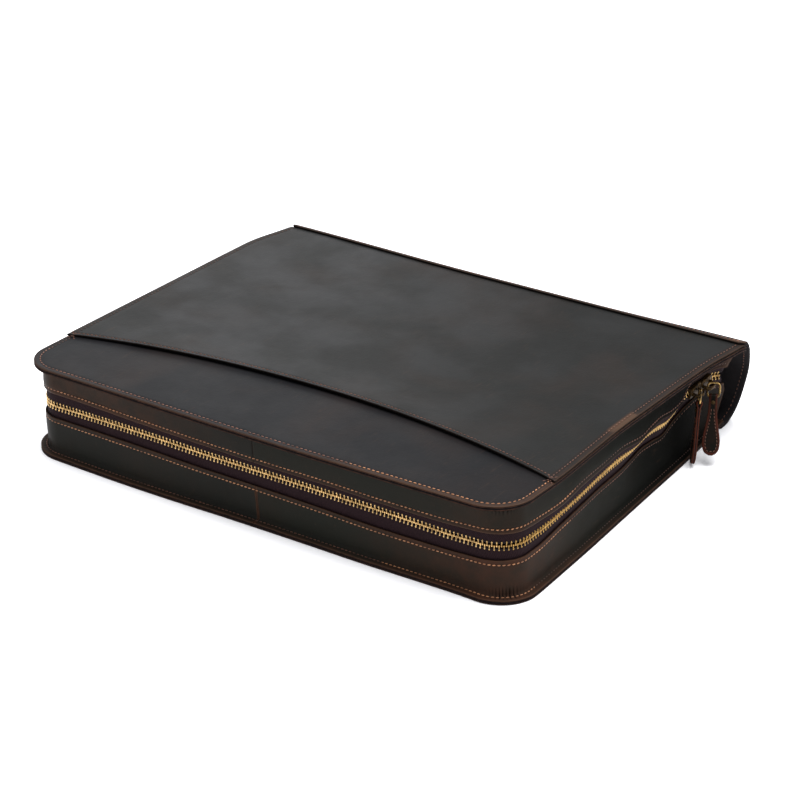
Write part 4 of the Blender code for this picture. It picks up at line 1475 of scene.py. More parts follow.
@dataclass(frozen=True)
class Covers(Piecework):
    """Top and bottom panels, each with an out-turned seam edge on three sides."""

    step: float = 4.0 * MM
    end_step: float = 2.0 * MM
    corner_steps: int = 14
    swell: float = 0.35 * MM
    swell_size: float = 70 * MM
    stitch_pitch: float = 3.15 * MM
    stitch_length: float = 2.1 * MM
    stitch_sunk: float = 0.1 * MM
    floor_room: float = 0.36 * MM
    edge_wear: float = 0.6  # outside the seam, where the right hand has held the case
    wear_from: float = 40 * MM
    wear_fade: float = 70 * MM
    seam_end: float = 8 * MM
    pale_thread_from: float = 0.28  # shares of the way round at which the top row changes its thread: darker on the left side, paler in front, brightest from the front right round the corner, darker on the right side
    bright_from: float = 0.58

    def panel(self, level: float, dip_sign: float, seed: float) -> tuple[list, list]:
        """Lays out one panel.

        Args:
            level: level of the hide's middle.
            dip_sign: which way the sewn row sinks: -1 down, 1 up.
            seed: of the unevenness.

        Returns:
            The grid of points and the distance of each to the seam edge.
        """
        form = self.form
        straight = form.width / 2 - form.corner
        turn = []
        for step in range(self.corner_steps):
            angle = math.pi + math.pi / 2 * step / self.corner_steps
            turn.append((form.corner * math.cos(angle) - straight, form.corner * (1 + math.sin(angle))))
        front = turn + [(x, 0.0) for x in steps_between(-straight, straight, self.step)]
        front += [(-x, y) for x, y in reversed(turn)]
        rows = []
        for distance in border_steps(form.bend_start, self.step):
            share = distance / form.bend_start
            rows.append([(x, y + (form.bend_start - y) * share) for x, y in front])
        for y in steps_between(form.bend_start, form.cover_end, self.end_step)[1:]:
            rows.append([(x, y) for x, _ in front])
        points = []
        for row in rows:
            line = []
            for x, y in row:
                inset = form.inset_of(x, y)
                point = form.settle(x, y, level)
                fade = ease((inset - form.taut) / form.taut_fade)
                fade *= ease((form.bend_start - y) / form.bend_fade)
                wave = self.swell * ripple(point, self.swell_size, seed) * fade
                fade = ease((form.depth - y) / form.dip_fade)
                point.z += dip_sign * sewn_dip(inset, form.seam_inset) * fade + wave
                line.append(point)
            points.append(line)
        return points, [[form.inset_of(x, y) for x, y in row] for row in rows]

    def build(self) -> None:
        """Builds both covers and their sewn rows."""
        form = self.form
        for name, level, sign, seed in (
            ("top_cover", form.height - form.cover / 2, 1.0, 1.0),
            ("bottom_cover", form.cover / 2, -1.0, 5.0),
        ):
            points, insets = map(np.array, self.panel(level, -sign, seed))
            if sign < 0:
                points[:, :, 2] = np.maximum(points[:, :, 2], form.cover / 2)
            outside = np.clip((form.seam_inset - insets) / MM, 0.0, 1.0)
            right = np.clip((points[:, :, 0] - self.wear_from) / self.wear_fade, 0.0, 1.0)
            warm = self.edge_wear * outside * right
            hide = self.shop.sheet(
                f"{name}_hide", points, form.cover, "cover", sign * UP, Border(0), edge=insets, warm=warm
            )
            self.shop.hand_over(hide, "waxed_leather", [name])
        turn = form.way_length - form.cover_end + form.mouth_side
        pale_start, bright = form.way_length * self.pale_thread_from, form.way_length * self.bright_from
        for name, start, end, thread in (
            ("left", self.seam_end, pale_start, "sunk_thread"),
            ("front", pale_start, bright, "pale_thread"),
            ("corner", bright, turn, "thread"),
            ("right", turn, form.way_length - self.seam_end, "dull_thread"),
        ):
            row = [self.top_row(start, end)]
            name = f"stitches_top_seam_{name}"
            self.shop.sew(name, row, thread, self.stitch_pitch, self.stitch_length, seed=2)
        self.shop.sew("stitches_under_bottom", [self.bottom_row()], "dull_thread", seed=3)

    def top_row(self, start: float, end: float) -> Line:
        """A run of the seam's row on top, over the cover in front and over the pocket panel behind.

        Args:
            start: length along the seam edge at which the run starts.
            end: length at which it ends.

        Returns:
            The run.
        """
        form = self.form
        line = []
        for station in form.stations(start, end):
            place = station.edge - station.outward * form.seam_inset
            over = ease((place.y - form.mouth(place.x)) / (1.5 * MM) + 0.5)
            point = form.settle(place.x, place.y, form.height)
            rise = over * (form.gap + form.pocket)
            point.z += rise + over * form.mouth_rise(place.x, place.y) - self.stitch_sunk
            line.append((point, UP))
        return line

    def bottom_row(self) -> Line:
        """The same seam underneath, sunk so that it clears the floor.

        Returns:
            The row.
        """
        form = self.form
        line = []
        for station in form.stations(self.seam_end, form.way_length - self.seam_end):
            place = station.edge - station.outward * form.seam_inset
            point = form.settle(place.x, place.y, 0.0)
            point.z += self.floor_room
            line.append((point, -UP))
        return line


@dataclass(frozen=True)
class Pocket(Piecework):
    """Second panel over the top cover, open at its scooped front edge."""

    step: float = 4.0 * MM
    end_step: float = 2.0 * MM
    mouth_seam: float = 2.6 * MM  # mouth edge to its sewn row
    mouth_dip: float = 0.2 * MM
    mouth_margin: float = 3.5 * MM  # keeps the rubbed band narrower at the mouth than at the sides
    mouth_taut: float = 10 * MM
    mouth_taut_fade: float = 30 * MM
    band: float = 6.5 * MM  # outside the right seam
    band_wear: float = 0.35
    band_matt: float = 0.4
    patch_from: float = 114 * MM  # the bare patch where the band is spliced
    patch_to: float = 150 * MM
    patch_wear: float = 1.05
    patch_start: float = 8 * MM  # reach over which it begins and stops
    patch_stop: float = 2 * MM
    stitch_rise: float = 0.1 * MM
    swell: float = 0.3 * MM
    swell_size: float = 80 * MM
    tack_reach: float = 2.4 * MM
    tack_pitch: float = 2.2 * MM

    def build(self) -> None:
        """Builds the panel, its mouth seam and the crossed tacks at the mouth's ends."""
        form = self.form
        half = form.width / 2
        inwards = border_steps(half, self.step)
        columns = [distance - half for distance in inwards]
        columns += [half - distance for distance in inwards[-2::-1]]
        reach = form.bend_start - form.mouth_side - form.mouth_scoop
        rows = []
        for distance in border_steps(reach, self.step):
            bend = (distance / reach) ** 2
            row = []
            for x in columns:
                mouth = form.mouth(x)
                y = mouth + distance + (form.bend_start - mouth - reach) * bend
                row.append((x, y, min(half - abs(x), y - mouth + self.mouth_margin)))
            rows.append(row)
        for y in steps_between(form.bend_start, form.cover_end, self.end_step)[1:]:
            rows.append([(x, y, half - abs(x)) for x in columns])
        hide = self.shop.sheet(
            "pocket_panel_hide",
            [[self.surface(x, y, form.pocket_level) for x, y, _ in row] for row in rows],
            form.pocket,
            "pocket",
            UP,
            Border(0),
            edge=[[inset for _, _, inset in row] for row in rows],
            warm=[[self.side_wear(x, y) for x, y, _ in row] for row in rows],
            dull=[self.band_matt * self.side_band(x) for x in columns],
            # The near black cut edge paints the shade under the mouth.
            rim="shaded_cut",
        )
        self.shop.hand_over(hide, "pocket_leather", ["pocket_panel"])
        seam = []
        for x in steps_between(-half + form.seam_inset, half - form.seam_inset, 2 * MM):
            y = form.mouth(x) + self.mouth_seam
            point = self.surface(x, y, form.pocket_level + form.pocket / 2)
            seam.append((point + self.stitch_rise * UP, UP))
        self.shop.sew("stitches_pocket_mouth", [seam], "dull_thread", seed=4)
        self.tacks()

    def side_wear(self, x: float, y: float) -> float:
        """Finds how brown the band outside the right seam has worn, with its bare patch half way back.

        Args:
            x: place across the case.
            y: place from its front edge back.

        Returns:
            The warmth, 0 on the rest of the panel.
        """
        bare = ease((y - self.patch_from) / self.patch_start)
        bare *= ease((self.patch_to - y) / self.patch_stop)
        return self.side_band(x) * (self.band_wear + self.patch_wear * bare)

    def side_band(self, x: float) -> float:
        """1 on the band outside the right seam and 0 on the rest of the panel."""
        return ease((x - self.form.width / 2 + self.band) / MM)

    def surface(self, x: float, y: float, level: float) -> Vector:
        """A settled point of the panel, lifted at the mouth and sunk along the sewn rows.

        Args:
            x: place across the square case.
            y: place back from its front edge.
            level: height on the flat panel.

        Returns:
            The point.
        """
        form = self.form
        point = form.settle(x, y, level)
        side = form.width / 2 - abs(x)
        from_mouth = y - form.mouth(x)
        point.z += form.mouth_rise(x, y)
        point.z -= sewn_dip(side, form.seam_inset) * ease((form.depth - y) / form.dip_fade)
        point.z -= sewn_dip(from_mouth, self.mouth_seam, self.mouth_dip)
        fade = ease((side - form.taut) / form.taut_fade)
        fade *= ease((from_mouth - self.mouth_taut) / self.mouth_taut_fade)
        fade *= ease((form.bend_start - y) / form.bend_fade)
        point.z += self.swell * ripple(point, self.swell_size, seed=3.0) * fade
        return point

    def tacks(self) -> None:
        """Sews crossed stitches over the ends of the mouth."""
        form = self.form
        lines = []
        for side in (-1.0, 1.0):
            x = side * (form.width / 2 - form.seam_inset)
            for slope in (-1.0, 1.0):
                line = []
                for share in (-1.0, -0.5, 0.0, 0.5, 1.0):
                    away = share * self.tack_reach
                    point = form.settle(x + away, form.mouth(x) + 0.5 * MM + slope * away, form.height)
                    point.z += (form.gap + form.pocket) * ease(share * slope + 0.6)
                    line.append((point, UP))
                lines.append(line)
        self.shop.sew("stitches_mouth_tacks", lines, "dull_thread", self.tack_pitch, 2.2 * MM, seed=5)


@dataclass(frozen=True)
class Spine(Piecework):
    """Strip that laps over both covers and bulges out behind them, open at both ends."""

    lap_seam: float = 2.8 * MM
    end_seam: float = 4.0 * MM
    end_border: float = 9 * MM  # where the points lie close together
    step: float = 2.5 * MM
    lap_rows: int = 9
    lap_wear: float = 1.3
    lap_wear_reach: float = 11 * MM
    lap_wear_fade: float = 3 * MM
    lap_seam_end: float = 5 * MM
    across_step: float = 5 * MM
    unsewn: int = 10  # points of the section at either lap that the end's rows leave out
    swell: float = 0.5 * MM
    swell_size: float = 45 * MM
    swell_back: float = 8 * MM  # reach over which the swelling begins, from the laps and from the ends
    swell_end: float = 20 * MM

    def section(self) -> list[tuple[float, float, float]]:
        """Lays out the strip's fine section.

        Returns:
            For each point its place back, its level and how far the strip's ends are rounded off there.
        """
        form = self.form
        bottom = form.spine / 2
        height = form.spine_top - bottom
        back = form.depth + form.spine_lap
        coarse = [(form.depth, form.spine_top), (form.depth + form.spine_corner, form.spine_top)]
        coarse += [(back + form.spine_bulge * curl.bulge, bottom + height * curl.height) for curl in CURLS]
        coarse += [(form.depth + form.spine_corner, bottom), (form.depth, bottom)]
        lengths = [0.0]
        for (y0, z0), (y1, z1) in zip(coarse, coarse[1:]):
            lengths.append(lengths[-1] + math.hypot(y1 - y0, z1 - z0))
        rows = [(length, y, z) for length, (y, z) in zip(lengths, coarse)]
        total = lengths[-1]
        near = border_steps(self.end_border, 2 * MM)
        inner = steps_between(self.end_border, total - self.end_border, self.step)
        found = []
        for length in near + inner[1:-1] + [total - value for value in reversed(near)]:
            _, y, z = read_table(rows, length)
            from_lap = min(length, total - length)
            found.append((y, z, form.spine_corner * (1 - ease(from_lap / form.spine_corner))))
        return found

    def build(self) -> None:
        """Builds the strip, the seam along its upper lap and the seams of its two ends."""
        form = self.form
        half = form.width / 2
        inwards = border_steps(half, self.across_step)
        shares = [distance / half - 1 for distance in inwards]
        shares += [1 - distance / half for distance in inwards[-2::-1]]
        reach = self.lap_wear_reach
        fade = self.lap_wear_fade
        worn = [self.lap_wear * ease((share * half - half + reach) / fade) for share in shares]
        points, warm = [], []
        for row, (y, z, trim) in enumerate(self.section()):
            line = []
            for share in shares:
                x = (half - trim) * share
                point = form.settle(x, y, max(z, form.spine / 2), on_lap=False)
                bulged = ease((y - form.cover_end) / self.swell_back)
                bulged *= ease((half - abs(x)) / self.swell_end)
                point.y += self.swell * ripple(point, self.swell_size, seed=7.0) * bulged
                line.append(point)
            points.append(line)
            warm.append(worn if row < self.lap_rows else [0.0] * len(shares))
        back = Vector((0.0, 1.0, 0.0))
        # The near black cut edge paints the shade in front of the lap's edge.
        hide = self.shop.sheet("spine_hide", points, form.spine, "spine", back, warm=warm, rim="shaded_cut")
        self.shop.hand_over(hide, "spine_leather", ["spine_panel"])
        lap = []
        for x in steps_between(-half + self.lap_seam_end, half - self.lap_seam_end, 2 * MM):
            point = form.settle(x, form.depth + self.lap_seam, form.spine_top + form.spine / 2, on_lap=False)
            lap.append((point, UP))
        self.shop.sew("stitches_spine_lap", [lap], "pale_thread", seed=6)
        self.end_seams()

    def end_seams(self) -> None:
        """Sews rows round both open ends, inside and outside."""
        form = self.form
        lines = []
        section = self.section()[self.unsewn : -self.unsewn]
        for side in (-1.0, 1.0):
            x = side * (form.width / 2 - self.end_seam)
            middle = [form.settle(x, y, z, on_lap=False) for y, z, _ in section]
            for face in (-1.0, 1.0):
                line = []
                for before, here, after in zip(middle, middle[1:], middle[2:]):
                    along = (after - before).normalized()
                    out = (Vector((1.0, 0.0, 0.0)).cross(along) * -1.0).normalized() * face
                    line.append((here + out * form.spine / 2, out))
                lines.append(line)
        self.shop.sew("stitches_spine_ends", lines, "dull_thread", seed=7)


@dataclass(frozen=True)
class Gussets(Piecework):
    """Walls above and below the zip, each of two strips that meet in the middle of the front."""

    step: float = 3.5 * MM
    corner_step: float = 0.8 * MM
    bend: float = 2.6 * MM
    zip_seam: float = 2.8 * MM  # cut edge to the sewn row beside the zip
    zip_dip: float = 0.2 * MM
    splice: float = 1.2 * MM  # reach of the worn line where two strips meet
    splice_wear: float = 1.5
    tucks: int = 60  # as many as would go round a full circle
    tuck: float = 0.8 * MM
    # Shade painted into the tucks' hollows: how strongly a tuck's depth counts, and how far it darkens the
    # hide.
    tuck_shade: float = 1.4
    tuck_painted_shade: float = 1.3
    tuck_wander: float = 8 * MM  # size at which the tucks wander and grow uneven
    tuck_uneven: float = 5 * MM
    tuck_from: float = 0.72  # share of the wall's height, from the zip, at which they start
    tuck_fade: float = 0.28
    shade_from: float = 0.8
    shade_fade: float = 0.2
    row_step: float = 1.6 * MM
    zip_stitch_sunk: float = 0.15 * MM
    flange_stitch_in: float = 0.3 * MM  # the inner row stands this far outside the seam
    flange_stitch_rise: float = 0.05 * MM
    hidden: float = 20 * MM  # stands for no cut edge near by
    swell: float = 0.8 * MM
    swell_size: float = 34 * MM
    zip_seam_end: float = 5 * MM
    flange_seam_end: float = 8 * MM
    zip_dull_from: float = 0.77  # shares of the way round at which the rows change their thread's colour; the darker thread on the right side is painted shade
    flange_bright_from: float = 0.6
    flange_bright_to: float = 0.72

    def section(self, station: Station, half: Half) -> list[tuple[Vector, float, float]]:
        """Points of one gusset's section, from the flange's edge to the cut edge beside the zip.

        Args:
            station: the place on the seam edge.
            half: which wall.

        Returns:
            Each point, how far it is from the flange's edge or the cut edge, and how much shade is painted on
            it for a tuck.
        """
        form = self.form
        flange, towards_zip = self.flange(half)
        foot = flange + towards_zip * self.bend
        corner = form.wall_inset(station.way, foot)
        start = min(form.seam_inset + 0.5 * MM, corner - 1.2 * MM)
        fold = self.fold(station, half)
        shade = min(1.0, max(0.0, -self.tuck_shade * fold))
        found = []
        for inset in (0.0, 0.6 * MM, 1.5 * MM, 2.6 * MM, start - 0.4 * MM, start):
            found.append((form.side_point(station, inset, flange), inset, shade * ease(inset / start)))
        for share in (0.35, 0.7):
            turn = share * math.pi / 2
            inset = start + (corner - start) * math.sin(turn) - share * self.tuck * fold
            height = flange + towards_zip * self.bend * (1 - math.cos(turn))
            found.append((form.side_point(station, inset, height), self.hidden, shade))
        edge = form.gusset_edge(station.way, half)
        tall = abs(edge - foot)
        for distance in reversed(border_steps(tall, self.row_step)):
            height = edge - towards_zip * distance
            share = distance / tall
            dip = sewn_dip(distance, self.zip_seam, self.zip_dip)
            tucked = ease((share - self.tuck_from) / self.tuck_fade)
            puff = self.puff(station, half, share) + self.tuck * fold * tucked
            point = form.wall_point(station, height, dip - puff)
            found.append((point, distance, shade * ease((share - self.shade_from) / self.shade_fade)))
        return found

    def flange(self, half: Half) -> tuple[float, float]:
        """Level of a wall's flange, and 1 or -1 for the zip being above or below it."""
        return (self.form.upper_flange, -1.0) if half is Half.UPPER else (self.form.lower_flange, 1.0)

    def fold(self, station: Station, half: Half) -> float:
        """The small tucks at the round corners, where the hide is gathered.

        Args:
            station: the place on the seam edge.
            half: which wall.

        Returns:
            Up to 1 on a crest and down to -1 in a tuck, and 0 on the straight runs.
        """
        out = station.outward
        place = station.edge.to_3d()
        turning = max(0.0, 1.0 - (out.x**2 - out.y**2) ** 2)
        wander = ripple(place, self.tuck_wander, seed=3.0 if half is Half.UPPER else 5.0)
        uneven = 0.75 + 0.5 * ripple(place, self.tuck_uneven, seed=8.0)
        return turning * uneven * math.sin(math.atan2(out.y, out.x) * self.tucks + 2.5 * wander)

    def puff(self, station: Station, half: Half, share: float) -> float:
        """How far soft hide stands out of the smooth wall.

        Args:
            station: the place on the seam edge.
            half: which wall.
            share: of the wall's height, from the cut edge.

        Returns:
            The distance outwards.
        """
        place = Vector((*station.edge, share * 12 * MM))
        seed = 11.0 if half is Half.UPPER else 17.0
        swell = self.swell * ripple(place, self.swell_size, seed)
        return swell * math.sin(math.pi * min(share, 1.0))

    def build(self) -> None:
        """Builds the four strips and their sewn rows."""
        whole = self.form.way_length
        middle, seam = whole / 2, self.form.gap / 2
        for side, start, end in (("left", 0.0, middle - seam), ("right", middle + seam, whole)):
            for half in Half:
                self.strip(half, side, start, end)
        first, last, turn = self.zip_seam_end, whole - self.zip_seam_end, whole * self.zip_dull_from
        for half in Half:
            name = f"stitches_{half.value}_zip_edge"
            self.shop.sew(f"{name}_front", [self.zip_row(half, first, turn)], seed=8)
            # The right run's darker thread is painted shade.
            self.shop.sew(f"{name}_right", [self.zip_row(half, turn, last)], "dull_thread", seed=8)
        first, last = self.flange_seam_end, whole - self.flange_seam_end
        corner, turn = whole * self.flange_bright_from, whole * self.flange_bright_to
        for name, start, end, thread in (
            ("front", first, corner, "dull_thread"),
            ("corner", corner, turn, "thread"),
            # The right run's darkest thread is painted shade.
            ("right", turn, last, "sunk_thread"),
        ):
            row = self.flange_row(Half.LOWER, start, end)
            self.shop.sew(f"stitches_lower_flange_{name}", [row], thread, seed=9)
        row = self.flange_row(Half.UPPER, first, last)
        self.shop.sew("stitches_upper_flange", [row], "dull_thread", seed=10)

    def strip(self, half: Half, side: str, start: float, end: float) -> None:
        """Cuts one of the four strips.

        Args:
            half: which wall.
            side: left or right of the splice in the middle of the front.
            start: length along the seam edge at which it starts.
            end: length at which it ends.
        """
        form = self.form
        left = side == "left"
        lengths = form.lengths(start, end, self.step, self.corner_step)
        lengths.insert(-1 if left else 1, end - self.splice if left else start + self.splice)
        grid, near, warm, dull = [], [], [], []
        for length in lengths:
            station = form.station(length)
            section = self.section(station, half)
            points, distances, tucked = zip(*section)
            heat = read_table(WARMTHS, station.way)
            wear = heat.upper if half is Half.UPPER else heat.lower
            if half is Half.LOWER and abs(length - form.way_length / 2) < MM:
                wear = self.splice_wear
            grid.append(points)
            near.append(distances)
            warm.append([wear] * len(section))
            # Painted shade: darker towards the back of the right wall, from the table, and in the tucks'
            # hollows.
            dull.append([heat.dull + self.tuck_painted_shade * share for share in tucked])
        # The right strips take the shaded copy of the gusset leather: painted shade.
        hide = self.shop.sheet(
            f"{half.value}_gusset_{side}_hide",
            self.even_columns(grid),
            form.gusset,
            "gusset" if left else "shaded_gusset",
            Vector((-1.0 if left else 1.0, 0.0, 0.0)),
            Border.FIRST_ROW if left else Border.LAST_ROW,
            edge=self.even_columns(near),
            warm=self.even_columns(warm),
            dull=self.even_columns(dull),
        )
        self.shop.hand_over(hide, "gusset_leather", [f"{half.value}_gusset_{side}"])

    @staticmethod
    def even_columns(grid: Sequence[Sequence]) -> np.ndarray:
        """Brings a grid whose rows differ in length to the same number of columns.

        Args:
            grid: rows of numbers or points.

        Returns:
            The even grid.
        """
        count = max(len(row) for row in grid)
        rows = []
        for row in grid:
            values = np.array(row, float)
            if len(values) != count:
                spots = np.linspace(0, len(values) - 1, count)
                low = np.minimum(spots.astype(int), len(values) - 2)
                share = (spots - low).reshape((-1,) + (1,) * (values.ndim - 1))
                values = values[low] * (1 - share) + values[low + 1] * share
            rows.append(values)
        return np.array(rows)

    def zip_row(self, half: Half, start: float, end: float) -> Line:
        """A run of the sewn row that holds a gusset to its tape.

        Args:
            half: which wall.
            start: length along the seam edge at which the run starts.
            end: length at which it ends.

        Returns:
            The run.
        """
        form = self.form
        line = []
        for station in form.stations(start, end):
            height = form.gusset_edge(station.way, half) - self.flange(half)[1] * self.zip_seam
            out = form.wall_outward(station, height)
            behind = self.zip_stitch_sunk - form.gusset / 2
            line.append((form.wall_point(station, height, behind), out))
        return line

    def flange_row(self, half: Half, start: float, end: float) -> Line:
        """A run of the sewn row on the inner face of a flange.

        Args:
            half: which wall.
            start: length along the seam edge at which the run starts.
            end: length at which it ends.

        Returns:
            The run.
        """
        form = self.form
        flange, towards_zip = self.flange(half)
        out = UP * towards_zip
        line = []
        for station in form.stations(start, end):
            point = form.side_point(station, form.seam_inset - self.flange_stitch_in, flange)
            line.append((point + out * (form.gusset / 2 + self.flange_stitch_rise), out))
        return line


@dataclass(frozen=True)
class Zip(Piecework):
    """Two woven tapes, the cords sewn into them and the closed brass teeth."""

    pitch: float = 2.7 * MM
    step: float = 3.5 * MM
    corner_step: float = 2 * MM
    line_corner_step: float = 1.2 * MM
    tape_inner: float = 1.5 * MM  # zip line to the tape's inner edge, between the teeth
    cord_radius: float = 0.7 * MM
    cord_rise: float = 2.3 * MM
    cord_end: float = 1.0 * MM
    teeth_end: float = 2.0 * MM
    slider_room: float = 4.5 * MM  # half of the run that a slider hides

    def build(self) -> None:
        """Builds tapes, cords and teeth."""
        self.tapes()
        self.cords()
        self.teeth()

    def tapes(self) -> None:
        """Builds both tapes behind the gussets."""
        form = self.form
        for half in Half:
            sign = 1.0 if half is Half.UPPER else -1.0
            grid = []
            for station in form.stations(0.0, form.way_length, self.step, self.corner_step):
                middle = form.zip_height(station.way)
                tall = abs(form.tape_end(station.way, half) - middle)
                row = []
                for share in (0.0, 0.04, 0.1, 0.2, 0.32, 0.45, 0.6, 0.8, 1.0):
                    height = middle + sign * (self.tape_inner + (tall - self.tape_inner) * share)
                    row.append(form.wall_point(station, height, form.zip_depth))
                grid.append(row)
            front = Vector((0.0, -1.0, 0.0))
            name = f"{half.value}_tape_cloth"
            tape = self.shop.sheet(name, grid, form.tape, "tape", front, flesh="tape", rim="tape")
            self.shop.hand_over(tape, "zip_tape_cloth", [f"{half.value}_zip_tape"])

    def line(self, start: float, end: float, rise: float = 0.0) -> Line:
        """A line along the zip.

        Args:
            start: length along the seam edge at which it starts.
            end: length at which it ends.
            rise: its height above the zip's middle.

        Returns:
            The line.
        """
        form = self.form
        found = []
        for station in form.stations(start, end, corner_step=self.line_corner_step):
            height = form.zip_height(station.way) + rise
            point = form.wall_point(station, height, form.zip_depth)
            found.append((point, form.wall_outward(station, height)))
        return found

    def cords(self) -> None:
        """Lays the cord along each tape's inner edge, which the teeth clasp."""
        end = self.form.way_length - self.cord_end
        lines = [self.line(self.cord_end, end, rise) for rise in (-self.cord_rise, self.cord_rise)]
        sizes = {"Radius": self.cord_radius, "Sides": 6, "Finish": self.shop.finishes["flesh"]}
        cords = self.shop.grow(self.shop.line_object("zip_tape_cords", lines), self.shop.seams.cord, sizes)
        self.shop.hand_over(cords, "zip_tape_cloth")

    def tooth(self) -> bpy.types.Object:
        """Makes one tooth: a leg that clasps the cord and a narrower head that meets the other row.

        Returns:
            The tooth's object.
        """
        rings = []
        for half_width, y, half_height in (
            (0.40, -0.60, 0.75),
            (0.52, -0.30, 0.95),
            (0.52, 0.30, 0.95),
            (0.28, 0.75, 0.70),
            (0.28, 1.60, 0.70),
            (0.46, 2.00, 1.10),
            (0.46, 2.65, 1.10),
            (0.32, 3.00, 0.60),
        ):
            width, tall = half_width * MM, half_height * MM
            right = [(width, -tall), (width, tall * 0.6), (width * 0.5, tall)]
            section = [(-width, -tall), *right, (-width * 0.5, tall), (-width, tall * 0.6)]
            rings.append([(x, y * MM, z) for x, z in section])
        return add_object("zip_tooth", loft("zip_tooth", rings))

    def teeth(self) -> None:
        """Sets the teeth between the ends and the two sliders, which hide theirs."""
        total = self.form.way_length
        marks = [self.teeth_end]
        for hang in HANGS:
            marks += [total - hang.from_end - self.slider_room, total - hang.from_end + self.slider_room]
        marks.append(total - self.teeth_end)
        lines = [self.line(start, end) for start, end in zip(marks[::2], marks[1::2])]
        tooth = self.tooth()
        sizes = {"Half pitch": self.pitch / 2, "Tooth": tooth, "Finish": self.shop.finishes["teeth"]}
        teeth = self.shop.grow(self.shop.line_object("zip_teeth_rows", lines), self.shop.seams.teeth, sizes)
        bpy.data.objects.remove(tooth)
        self.shop.hand_over(teeth, "zip_brass", ["zip_chain"])


@dataclass(frozen=True, kw_only=True)
class Slider(Piecework):
    """A cast slider with its wire ring, leather pull and rivet."""

    hang: Hang
    length: float = 12 * MM
    plate: float = 1.2 * MM
    rail: float = 0.8 * MM
    clearance: float = 0.7 * MM
    bridge_length: float = 9.4 * MM
    bridge_width: float = 2.4 * MM
    bridge_bar: float = 1.8 * MM
    bridge_room: float = 4.2 * MM
    bridge_foot: float = 1.5 * MM
    bridge_sunk: float = 0.3 * MM
    bridge_steps: int = 20
    bridge_squareness: float = 0.62  # 1 is a half round arch, less is squarer
    crease: float = math.radians(40)
    wire: float = 1.4 * MM
    ring_width: float = 6.2 * MM
    ring_height: float = 7.8 * MM
    ring_rounding: float = 1.7  # radius of its corners, in thicknesses of its wire
    pull_hide: float = 1.15 * MM
    layer_gap: float = 0.1 * MM
    pull_length: float = 37.6 * MM
    pull_width: float = 11 * MM
    pull_neck: float = 0.07  # share of its length at which the strap's two layers meet
    eye_reach: float = 5 * MM  # points nearer to the wire belong to the eye
    pull_seam: float = 1.9 * MM  # border to the sewn row
    seam_from: float = 0.24  # shares of the pull's length at which the row starts, turns and ends
    seam_turn: float = 0.93
    seam_end: float = 0.945
    stitch_pitch: float = 2.2 * MM
    stitch_length: float = 1.6 * MM
    stitch_width: float = 0.6 * MM
    fold_from: float = math.radians(-40)  # the strap's way round the wire
    fold_turn: float = math.radians(260)
    fold_steps: int = 14
    rivet_head: float = 2.8 * MM
    rivet_below_ring: float = 4 * MM
    rivet_sides: int = 16
    leg_share: float = 0.4  # how far along the bridge's room the ring's leg has slid
    most_lean: float = math.radians(60)
    halvings: int = 12

    @property
    def wire_level(self) -> float:
        """Level of the ring's lower wire in the ring's frame."""
        return -(self.ring_height + self.wire) / 2

    def frame(self) -> Matrix:
        """Finds the slider's place on the zip.

        Returns:
            Its frame: x the way of the zip, y up across it, z outwards.
        """
        form = self.form
        middle = form.way_length - self.hang.from_end
        ends = []
        for offset in (-self.length / 2, self.length / 2):
            station = form.station(middle + offset)
            ends.append(form.wall_point(station, form.zip_height(station.way), form.zip_depth))
        along = (ends[1] - ends[0]).normalized()
        station = form.station(middle)
        level = form.zip_height(station.way)
        raised = form.wall_point(station, level + form.chain_width / 2, form.zip_depth)
        lowered = form.wall_point(station, level - form.chain_width / 2, form.zip_depth)
        up = raised - lowered
        up = (up - along * up.dot(along)).normalized()
        return frame_at(along, up, (ends[0] + ends[1]) / 2)

    def leaning_ring(self, slider: Matrix, lean: float) -> Matrix:
        """Hangs the ring from the slider's bridge at a lean.

        Args:
            slider: the slider's frame.
            lean: from the vertical.

        Returns:
            The ring's frame: x across the strap, y up it, z its face.
        """
        hang = self.hang
        heading = Vector((math.sin(hang.heading), math.cos(hang.heading), 0.0))
        down = heading * math.sin(lean) - UP * math.cos(lean)
        turned = Vector((math.sin(hang.turn), math.cos(hang.turn), 0.0))
        across = (turned - down * turned.dot(down)).normalized()
        room = self.bridge_length / 2 - self.bridge_foot - self.form.gap - self.wire / 2
        face = self.form.chain_thickness / 2 + self.clearance + self.plate
        leg_along = math.copysign(room * self.leg_share, -math.cos(hang.turn))
        leg = slider @ Vector((leg_along, 0.0, face + self.bridge_room / 2))
        above_bar = self.bridge_width / 2 + self.form.gap + self.wire
        place = leg + across * (self.ring_width + self.wire) / 2
        return frame_at(across, -down, place + down * (self.ring_height / 2 + self.wire - above_bar))

    def ring_frame(self, slider: Matrix) -> Matrix:
        """Leans the ring just so far that the pull's tip is at its height.

        Args:
            slider: the slider's frame.

        Returns:
            The ring's frame.
        """
        tip = Vector((0.0, self.wire_level - self.pull_length, 0.0))
        low, high = 0.0, self.most_lean
        for _ in range(self.halvings):
            lean = (low + high) / 2
            if (self.leaning_ring(slider, lean) @ tip).z < self.hang.tip:
                low = lean
            else:
                high = lean
        return self.leaning_ring(slider, low)

    def build(self) -> None:
        """Builds slider, ring, pull and rivet."""
        slider = self.frame()
        ring = self.ring_frame(slider)
        self.casting(slider)
        self.ring(ring)
        self.pull(ring)
        self.rivet(ring)

    def set_brass(self, mesh: bpy.types.Mesh, node: str) -> None:
        """Makes a piece of antiqued brass of a mesh and hands it over.

        Args:
            mesh: the mesh, in its place.
            node: the CAD node that it stands for.
        """
        mesh.materials.append(self.shop.finishes["antique"])
        self.shop.hand_over(add_object(mesh.name, mesh), "antique_brass", [node])

